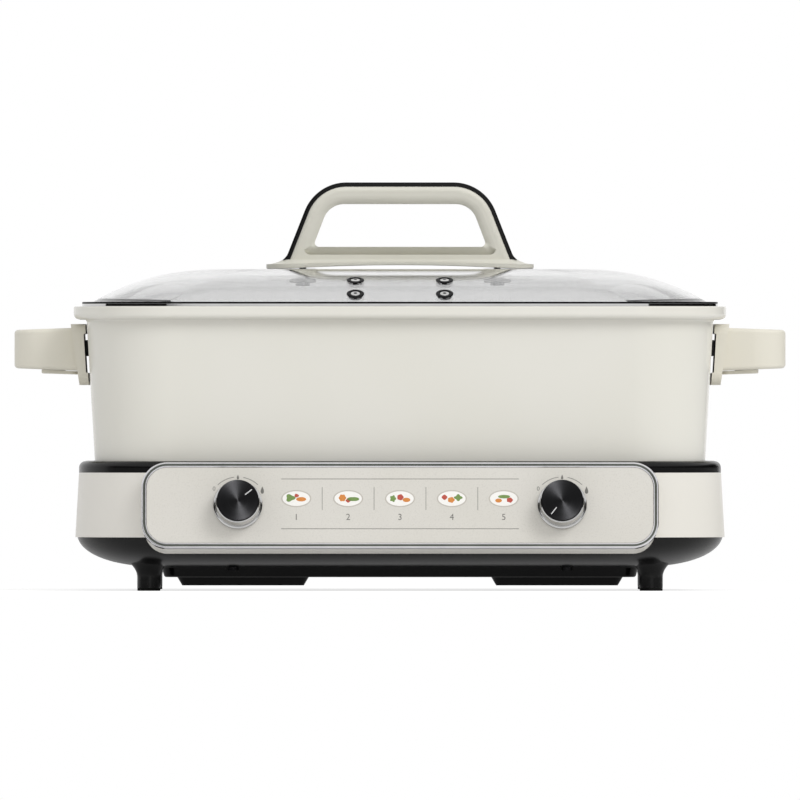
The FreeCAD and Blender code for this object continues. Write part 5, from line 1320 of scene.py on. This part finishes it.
@dataclass
class Lid:
    """Domed glass in a thin steel rim, with a dark seal whose black band over the rim is partly painted
    reflection, four steam vents and two screw holes.
    """

    corner: float = 51.2
    rim_high: float = 1.6
    rim_clear: float = 0.03
    rim_wall: float = 0.8
    rim_inner: float = 9.8
    collar: float = 7.4
    collar_sheet: float = 0.8
    glass_edge: float = 1.6
    glass_edge_high: float = 1.7
    flange: float = 5.9
    thick: float = 3.4
    slope: float = 31.0
    crown_corner: float = 34.0
    seal_high: float = 1.1
    gap: float = 0.1
    vent_x: float = 26.7
    vent_insets: tuple[float, float] = (14.6, 34.2)
    vent_bore: float = 4.0
    screw_x: float = 58.5
    screw_bore: float = 2.8

    def build(self, wardrobe: Wardrobe) -> None:
        """Make the glass, its rim, its seal and its vents, and dress the fasteners.

        Args:
            wardrobe: where finishes come from.
        """
        self.low, self.high = extent("lid_rim")
        glass_low, glass_high = extent("lid_glass")
        self.seat_z, self.crown = glass_low[2], glass_high[2]
        self.middle_y = (self.low[1] + self.high[1]) / 2
        self.corners = rectangle(self.high[0] - self.low[0], self.high[1] - self.low[1])
        self.seat = Seat((0.0, self.middle_y, 0.0))
        half = math.radians(self.slope / 2)
        rise = self.crown - self.seat_z - self.glass_edge_high
        self.crown_inset = self.flange + rise / math.tan(half)
        self.bend = rise / (math.tan(half) * math.sin(2 * half))
        self.rim(wardrobe)
        self.seal(wardrobe)
        self.glass(wardrobe)
        self.vents(wardrobe)
        wardrobe.dress(ZINC_STEEL, "lid_screws")
        wardrobe.dress(CLEAR_SILICONE, "lid_washers")

    def rim(self, wardrobe: Wardrobe) -> None:
        """Fold the steel rim: wall, seat for the glass, collar.

        Args:
            wardrobe: where finishes come from.
        """
        low, top = self.low[2], self.high[2]
        lip, seat = top - self.rim_high + self.rim_clear, self.seat_z
        inner = self.collar + self.collar_sheet
        profile = rounded_path([
            (self.collar, lip, 0.2), (0.0, lip, 0.15), (0.0, top, 0.12), (self.rim_wall, top, 0.1),
            (self.rim_wall, seat, 0.1), (self.rim_inner, seat, 0.2), (self.rim_inner, lip, 0.2),
            (inner, lip, 0.3), (inner, low, 0.25), (self.collar, low, 0.25)], steps=4, closed=True)
        wardrobe.piece("lid_steel_rim", "lid", self.round_lid(profile), [POLISHED_STEEL], "polished_steel",
                       ["lid_rim"])

    def seal(self, wardrobe: Wardrobe) -> None:
        """Mould the seal: a foot beside the glass, a soft band over its edge; the band's black above the rim
        is partly a painted reflection of the steel rim.

        Args:
            wardrobe: where finishes come from.
        """
        rim_top, foot = self.high[2], self.seat_z + self.gap
        glass_top = self.seat_z + self.glass_edge_high + self.gap
        wall, edge, inner = self.rim_wall + self.gap, self.glass_edge - self.gap, self.flange - self.gap
        crest = rim_top + self.seal_high
        profile = rounded_path([
            (edge, foot, 0.1), (wall, foot, 0.1), (wall, rim_top + self.gap, 0.0),
            (self.gap, rim_top + self.gap, 0.2), (self.gap, crest, 0.5), (inner, crest, 0.12),
            (inner, glass_top, 0.0), (edge, glass_top, 0.0)], steps=4, closed=True)
        wardrobe.piece("lid_seal_painted_reflection", "lid", self.round_lid(profile), [SEAL_BLACK_AND_PAINTED_REFLECTION], "black_silicone",
                       ["lid_bead"])

    def round_lid(self, section: np.ndarray) -> Skin:
        """Carry a closed section round the lid's outline.

        Args:
            section: inset and height of each of its points.

        Returns:
            The hoop's skin.
        """
        skin = Skin()
        skin.hoop(self.seat, nested_rings(self.corners, self.corner, section[:, 0], steps=24), section[:, 1])
        return skin

    def glass(self, wardrobe: Wardrobe) -> None:
        """Make the dome and drill it.

        Both faces are arcs about one line: inset = crown inset - bend sin(a) and
        height = top - bend (1 - cos(a)). The corner's radius shrinks evenly from the flange to the crown.

        Args:
            wardrobe: where finishes come from.
        """
        share = np.linspace(0.0, 1.0, 25)
        top = self.seat_z + self.glass_edge_high
        over = math.radians(self.slope) * (1.0 - share)
        inner_bend = self.bend - self.thick
        inner_top = self.crown - self.thick
        under = math.acos(1.0 - (inner_top - self.seat_z) / inner_bend) * share
        dome = np.column_stack([self.crown_inset - self.bend * np.sin(over),
                                self.crown - self.bend * (1 - np.cos(over))])
        hollow = np.column_stack([self.crown_inset - inner_bend * np.sin(under),
                                  inner_top - inner_bend * (1.0 - np.cos(under))])
        edge = rounded_path([(self.flange + 1.0, self.seat_z, 0.0), (self.glass_edge, self.seat_z, 0.7),
                             (self.glass_edge, top, 0.7), (self.flange, top, 0.0)], steps=4)
        profile = np.concatenate([hollow, edge[1:-1], dome])
        flattening = (self.corner - self.flange - self.crown_corner) / (self.crown_inset - self.flange)
        radii = self.corner + (1.0 - flattening) * np.maximum(profile[:, :1] - self.flange, 0.0)
        rings = nested_rings(self.corners, radii, profile[:, 0], runs=24, steps=24)
        skin = Skin()
        skin.solid(self.seat, rings, profile[:, 1])
        drills = Skin()
        for seat in self.vent_seats():
            drills.solid(seat, *turned(np.array([(self.vent_bore, -12.0), (self.vent_bore, 12.0)]), 32))
        for side in (-1.0, 1.0):
            ends = np.array([(self.screw_bore, inner_top - 10.0), (self.screw_bore, self.crown + 10.0)])
            drills.solid(self.seat.moved(side * self.screw_x, 0.0), *turned(ends, 32))
        wardrobe.piece("lid_dome", "lid", skin, [LID_GLASS], "lid_glass", ["lid_glass"], 28.0, drills)

    def vent_seats(self) -> list[Seat]:
        """Find where the steam vents stand on the dome.

        Returns:
            A seat for each, its out direction square to the glass.
        """
        seats = []
        for inset in self.vent_insets:
            angle = math.asin((self.crown_inset - inset) / self.bend)
            height = self.crown - self.bend * (1.0 - math.cos(angle))
            sine, cosine = math.sin(angle), math.cos(angle)
            for side in (-1.0, 1.0):
                seats.append(Seat((side * self.vent_x, self.low[1] + inset, height), up=(0.0, cosine, sine),
                                  out=(0.0, -sine, cosine)))
        return seats

    def vents(self, wardrobe: Wardrobe) -> None:
        """Turn a silicone grommet and its rolled steel eyelet for each vent.

        Args:
            wardrobe: where finishes come from.
        """
        under = -self.thick
        rubber = rounded_path([
            (2.3, under - 0.5, 0.1), (4.2, under - 0.5, 0.2), (4.2, under - 0.1, 0.1),
            (3.8, under - 0.1, 0.0), (3.8, 0.1, 0.0), (5.3, 0.1, 0.2), (5.3, 0.7, 0.4), (3.6, 1.0, 0.4),
            (3.0, 0.2, 0.2), (2.3, 0.2, 0.1)], steps=4, closed=True)
        eyelet = rounded_path([
            (1.0, under - 0.6, 0.05), (2.2, under - 0.6, 0.05), (2.2, 0.3, 0.0), (2.9, 0.3, 0.05),
            (2.7, 0.7, 0.2), (1.0, 1.0, 0.2)], steps=4, closed=True)
        skin = Skin()
        for seat in self.vent_seats():
            skin.hoop(seat, *turned(rubber, 40), 0)
            skin.hoop(seat, *turned(eyelet, 40), 1)
        wardrobe.piece("steam_vents", "lid", skin, [VENT_SILICONE, POLISHED_STEEL], "vent_silicone",
                       ["vent_grommets"])


@dataclass
class BridgeHandle:
    """Bridge handle over the crown: foot plate, arch with a bevelled opening, dark strip over its back."""

    top_half: float = 50.6
    seat_half: float = 68.9
    shoulder: float = 27.0
    strip: float = 2.6
    strip_inset: float = 3.0
    flare: float = 1.5
    flare_high: float = 3.6
    wide: float = 25.0
    face_round: float = 2.8
    hole_top_half: float = 42.6
    hole_low_half: float = 52.4
    bridge: float = 13.0
    sill: float = 7.6
    hole_radii: tuple[float, float] = (2.6, 13.0)
    bevel: float = 1.9
    bevel_wide: float = 5.0
    cove: float = 4.2
    sill_root: float = 4.6
    guard: float = 0.2
    bevel_steps: tuple[float, ...] = (4.7, 4.6, 3.6, 2.7, 1.9, 1.2, 0.6, 0.2, 0.0)
    low_tightening: float = 0.8
    plate_edge: float = 2.7
    plate_arch: float = 2.2
    plate_top: tuple[float, float] = (141.0, 30.0)
    plate_corners: tuple[float, float] = (17.5, 13.0)

    def build(self, wardrobe: Wardrobe) -> None:
        """Make the arch, the strip and the foot plate.

        Args:
            wardrobe: where finishes come from.
        """
        low, high = extent("lid_handle_strip")
        self.seat_z, self.top = low[2], high[2]
        self.lean = (self.seat_half - self.top_half) / (self.top - self.seat_z)
        across = self.strip * math.hypot(1.0, self.lean)
        self.core_half = self.seat_half - across
        self.core_top_half = self.top_half + self.strip * self.lean - across
        self.front = Seat((0.0, (low[1] + high[1]) / 2, 0.0), up=(0.0, 0.0, 1.0), out=(0.0, -1.0, 0.0))
        self.arch(wardrobe)
        self.back(wardrobe)
        self.foot(wardrobe)

    def arch(self, wardrobe: Wardrobe) -> None:
        """Carry the section round the arch's frame, from its outline over its faces to its opening.

        Rings share their points' order, so the face runs straight from the outline's ring to the opening's.
        A guard ring on each side keeps the face flat up to its rounded edges.
        At s from the opening's edge the rounded bevel stands back by bevel (1 - s / bevel wide)^2.
        Along the sill it turns into an undercut that stands back by cove s / root. The share of the undercut
        is one along the sill and falls to nought round the opening's lower corners.
        Below the seat the rings close in along the legs' lean and lie flat.

        Args:
            wardrobe: where finishes come from.
        """
        half, drop = self.wide / 2, self.face_round
        legs, sides = np.array([1, 1, 0, 0]), np.array([-1, 1, 1, -1])
        outline = np.column_stack([
            sides * np.where(legs, self.core_half + self.lean * drop, self.core_top_half),
            np.where(legs, self.seat_z - drop, self.top - self.strip)])
        sill, lintel = self.seat_z + self.sill, self.top - self.bridge
        hole = np.column_stack([sides * np.where(legs, self.hole_low_half, self.hole_top_half),
                                np.where(legs, sill, lintel)])
        turn = np.linspace(0.0, np.pi / 2, 7)
        inset = np.append(drop * (1.0 - np.cos(turn)), drop + self.guard)
        radii = np.where(legs, 0.5, self.shoulder - self.strip)
        outer = nested_rings(outline, radii, inset, runs=36, steps=20)
        out_from_edge = np.array([self.bevel_wide + self.guard, self.bevel_wide, *self.bevel_steps])
        low_radius = self.hole_radii[0] - self.low_tightening * out_from_edge[:, None]
        radii = np.where(legs, low_radius, self.hole_radii[1])
        inner = nested_rings(hole, radii, -out_from_edge, runs=36, steps=20)
        height = half - drop + drop * np.append(np.sin(turn), 1.0)
        edge = np.repeat(height[:, None], inner.shape[1], axis=1)
        share = 1.0 - smooth_step(inner[-1, :, 1], sill, sill + self.hole_radii[0])
        rounded = self.bevel * np.clip(1.0 - out_from_edge / self.bevel_wide, 0.0, 1.0) ** 2
        undercut = np.where(out_from_edge > self.sill_root, 0.0, self.cove * out_from_edge / self.sill_root)
        back = rounded[:, None] * (1.0 - share) + undercut[:, None] * share
        plan = np.concatenate([outer, inner])
        sunk = np.maximum(self.seat_z - plan[..., 1], 0.0)
        plan[..., 0] *= self.core_half / (self.core_half + self.lean * sunk)
        plan[..., 1] += sunk
        out = np.concatenate([edge, half - back])
        skin = Skin()
        skin.hoop(self.front, np.concatenate([plan, plan[::-1]]), np.concatenate([out, -out[::-1]]))
        wardrobe.piece("handle_arch", "lid", skin, [LID_CREAM], "cream_handle", ["lid_handle"], sharp=50.0)

    def back(self, wardrobe: Wardrobe) -> None:
        """Bend the dark strip over the arch's back; its feet flare by the square of the height to go.

        Args:
            wardrobe: where finishes come from.
        """
        strip = self.strip
        belly = self.over(self.core_half, self.core_top_half, self.top - strip, self.shoulder - strip)
        back = self.over(self.seat_half, self.top_half, self.top, self.shoulder)
        low = np.clip(1.0 - (back[:, 1] - self.seat_z) / self.flare_high, 0.0, 1.0)
        back[:, 0] += np.sign(back[:, 0]) * self.flare * low ** 2
        half = self.wide / 2 - self.strip_inset
        section = rounded_path([(0.0, -half, 0.0), (strip, -half, 0.8), (strip, half, 0.8),
                                (0.0, half, 0.0)])
        skin = Skin()
        plan = belly + (back - belly) * section[:, :1, None] / strip
        index = skin.sheet(self.front.place(plan, section[:, 1]), wrap_rows=True, wrap_columns=False)
        skin.cap(index[:, 0], True)
        skin.cap(index[:, -1], False)
        wardrobe.piece("handle_strip", "lid", skin, [BLACK_GLOSS], "black_gloss", ["lid_handle_strip"],
                       sharp=40.0)

    def over(self, seat_half: float, top_half: float, top: float, radius: float) -> np.ndarray:
        """Path from the right foot over both shoulders to the left foot.

        Args:
            seat_half: half the distance between the feet.
            top_half: half the length of the top, up to its sharp corners.
            top: the top's height.
            radius: the shoulders' radius.

        Returns:
            Points by two coordinates.
        """
        lifts = np.linspace(0.0, self.flare_high, 6)
        run = [(seat_half - self.lean * lift, self.seat_z + lift, 0.0) for lift in lifts]
        run.append((top_half, top, radius))
        return rounded_path(run + [(-x, z, bend) for x, z, bend in run[::-1]], steps=28)

    def foot(self, wardrobe: Wardrobe) -> None:
        """Make the foot plate.

        Rings run from the lower outline to the upper one; a short upright edge is followed by a hollow sweep,
        whose height grows with the square of the share. Under the middle the lower rings lift in a flat arch,
        and below they meet along the plate's middle line.

        Args:
            wardrobe: where finishes come from.
        """
        low, high = extent("lid_handle_foot")
        thick, upright = high[2] - low[2], self.plate_edge
        share = np.linspace(0.0, 1.0, 11)
        inward = np.concatenate([[0.06, 0.0], share])
        height = np.concatenate([[0.0, 0.35], upright + (thick - upright) * share ** 2])
        low_corner, top_corner = self.plate_corners
        outline = rectangle(high[0] - low[0], high[1] - low[1])
        outer = nested_rings(outline, low_corner, 0.0, runs=16, steps=14)
        inner = nested_rings(rectangle(*self.plate_top), top_corner, 0.0, runs=16, steps=14)
        rings = outer + (inner - outer) * inward[:, None, None]
        arch = self.plate_arch * np.clip(1.0 - (rings[..., 0] / self.seat_half) ** 2, 0.0, 1.0)
        rise = height[:, None] + arch * (1.0 - smooth_step(height, 0.0, thick))[:, None]
        rings = np.concatenate([rings[:1] * (1.0, 0.0), rings])
        rise = np.concatenate([rise[:1], rise])
        skin = Skin()
        index = skin.sheet(Seat((0.0, (low[1] + high[1]) / 2, low[2])).place(rings, rise))
        skin.cap(index[-1], True)
        wardrobe.piece("handle_foot", "lid", skin, [LID_CREAM], "cream_handle", ["lid_handle_foot"])


# ---------------------------------------------------------------- studio


@dataclass
class Studio:
    """White floor and backdrop, soft light from the right front, dark cards, a long-lens camera.

    Lengths are metres. The film and glow are what the floor shows near the object, where its shadow falls.
    """

    distance: float = 21.33
    front: float = -0.05
    eye: float = 0.1143
    lens: float = 1600.0
    clip_end: float = 60.0
    floor: float = 3.0
    fade: tuple[float, float] = (0.35, 0.8)
    paper: float = 0.85
    film: float = 0.34
    glow: float = 0.76
    floor_in_gloss: float = 0.4
    bright_side: Triple = (0.55, -0.6, 0.58)
    dome: tuple[float, float] = (0.2, 0.95)
    card_radius: float = 3.0
    card_high: float = 1.3
    card_steps: int = 24

    def build(self, faces: bpy.types.Collection) -> None:
        """Make the camera, the floor, the world, the cards and the lamps.

        Args:
            faces: the spun pieces, the only ones that the glint falls on.
        """
        self.camera()
        self.ground()
        self.world()
        self.card("left", (180.0, 267.0))
        self.card("right", (-67.0, 60.0))
        self.lamp("key", (1.8, -2.4, 2.4), 1.6, 46.0)
        self.lamp("fill", (-2.2, -1.2, 1.6), 1.8, 8.0)
        glint = self.lamp("glint", (-0.5, -2.4, 2.4), 0.6, 150.0)
        glint.visible_glossy, glint.visible_diffuse = True, False
        glint.light_linking.receiver_collection = faces

    def camera(self) -> None:
        """Stand the camera in front at the height of the object's middle."""
        data = bpy.data.cameras.new("camera")
        data.lens = self.lens
        data.clip_end = self.clip_end
        camera = stand("camera", data)
        camera.location = (0.0, self.front - self.distance, self.eye)
        camera.rotation_euler = (math.pi / 2, 0.0, 0.0)
        bpy.context.scene.camera = camera

    def ground(self) -> None:
        """Lay the floor: white to the camera but for the object's shadow, plain paper to all other rays."""
        shader = Shader("studio_floor")
        reach = shader.add("ShaderNodeVectorMath", {0: shader.place}, operation="LENGTH").outputs["Value"]
        start, end = self.fade
        fade = shader.add("ShaderNodeMapRange", {"Value": reach, "From Min": start, "From Max": end},
                          interpolation_type="SMOOTHSTEP").outputs["Result"]
        paper = shader.add("ShaderNodeBsdfDiffuse", {"Color": grey(self.paper)}).outputs["BSDF"]
        film = shader.add("ShaderNodeBsdfDiffuse", {"Color": grey(self.film)}).outputs["BSDF"]
        glow = shader.add("ShaderNodeEmission", {"Strength": self.glow}).outputs["Emission"]
        near = shader.add("ShaderNodeAddShader", {0: film, 1: glow}).outputs["Shader"]
        white = shader.add("ShaderNodeEmission", {"Strength": 1.0}).outputs["Emission"]
        seen = shader.add("ShaderNodeMixShader", {0: fade, 1: near, 2: white}).outputs["Shader"]
        path = shader.add("ShaderNodeLightPath").outputs
        rays = {0: path["Is Glossy Ray"], 1: self.floor_in_gloss, 2: path["Is Camera Ray"]}
        shown = shader.add("ShaderNodeMath", rays, operation="MULTIPLY_ADD").outputs["Value"]
        mixed = shader.add("ShaderNodeMixShader", {0: shown, 1: paper, 2: seen}).outputs["Shader"]
        corners = np.pad(rectangle(2 * self.floor, 2 * self.floor), ((0, 0), (0, 1)))
        self.backdrop("floor", corners, [(0, 1, 2, 3)], shader.output(mixed))

    def backdrop(self, name: str, points: np.ndarray, faces: list, material: Material) -> bpy.types.Object:
        """Put a piece of the studio in the scene.

        Args:
            name: the piece's name.
            points: its corners.
            faces: the corners' numbers for each face.
            material: what it is made of.

        Returns:
            The piece's object.
        """
        mesh = bpy.data.meshes.new(name)
        mesh.from_pydata(points.tolist(), [], faces)
        mesh.materials.append(material)
        stage = stand(name, mesh)
        return stage

    def world(self) -> None:
        """White to the eye, to gloss and to glass; on plain surfaces a dome, brighter at the right front."""
        world = bpy.data.worlds.new("studio")
        tree = Tree(world)
        around = tree.add("ShaderNodeTexCoord").outputs["Generated"]
        lean = tree.add("ShaderNodeVectorMath", {0: around, 1: self.bright_side}, operation="DOT_PRODUCT")
        dark, bright = self.dome
        turn = {"Value": lean.outputs["Value"], "From Min": -1.0, "From Max": 1.0,
                "To Min": dark, "To Max": bright}
        glow = tree.add("ShaderNodeMapRange", turn).outputs["Result"]
        path = tree.add("ShaderNodeLightPath").outputs
        seen = path["Is Camera Ray"]
        for ray in ("Is Glossy Ray", "Is Transmission Ray"):
            seen = tree.add("ShaderNodeMath", {0: seen, 1: path[ray]}, operation="MAXIMUM").outputs["Value"]
        white = tree.add("ShaderNodeBackground", {"Color": grey(1.0)}).outputs["Background"]
        dome = tree.add("ShaderNodeBackground", {"Color": grey(1.0), "Strength": glow}).outputs["Background"]
        mixed = tree.add("ShaderNodeMixShader", {0: seen, 1: dome, 2: white}).outputs["Shader"]
        tree.add("ShaderNodeOutputWorld", {"Surface": mixed})
        bpy.context.scene.world = world

    def card(self, name: str, span: tuple[float, float]) -> None:
        """Stand a dark card that only shows in glossy surfaces.

        Args:
            name: left or right.
            span: degrees from +X, counter-clockwise from above, between which it bends round the object.
        """
        above = self.card_steps + 1
        angle = np.radians(np.linspace(*span, above))
        foot = self.card_radius * np.column_stack([np.cos(angle), np.sin(angle), 0.0 * angle])
        points = np.concatenate([foot, foot + (0.0, 0.0, self.card_high)])
        faces = [(i, i + 1, i + 1 + above, i + above) for i in range(self.card_steps)]
        shader = Shader(f"card_{name}")
        dark = shader.add("ShaderNodeEmission", {"Color": linear("0a0a0a")}).outputs["Emission"]
        card = self.backdrop(f"card_{name}", points, faces, shader.output(dark))
        card.visible_camera = card.visible_diffuse = card.visible_transmission = card.visible_shadow = False

    def lamp(self, name: str, place: Triple, size: float, power: float) -> bpy.types.Object:
        """Hang a square soft lamp that looks at the object and lights plain surfaces.

        Args:
            name: the lamp's name.
            place: metres.
            size: its side in metres.
            power: watts.

        Returns:
            The lamp's object.
        """
        data = bpy.data.lights.new(name, "AREA")
        data.size = size
        data.energy = power
        lamp = stand(name, data)
        lamp.location = place
        lamp.visible_glossy = False
        lamp.rotation_euler = (Vector((0.0, 0.0, 0.1)) - Vector(place)).to_track_quat("-Z", "Y").to_euler()
        return lamp


def main() -> None:
    """Build the object on its frame."""
    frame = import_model()
    wardrobe = Wardrobe(frame)
    faces = bpy.data.collections.new("spun_faces")
    for part in (Base(), ControlPanel(), PanelPrint(), Knob("left", -96.9, 52.0, faces),
                 Knob("right", 96.9, 218.0, faces), Pan(), SideHandles(), Lid(), BridgeHandle()):
        part.build(wardrobe)
    Studio().build(faces)
    bpy.context.scene.view_settings.view_transform = "Standard"


if __name__ == "__main__":
    logging.basicConfig(level=logging.INFO, format="%(name)s: %(message)s")
    main()
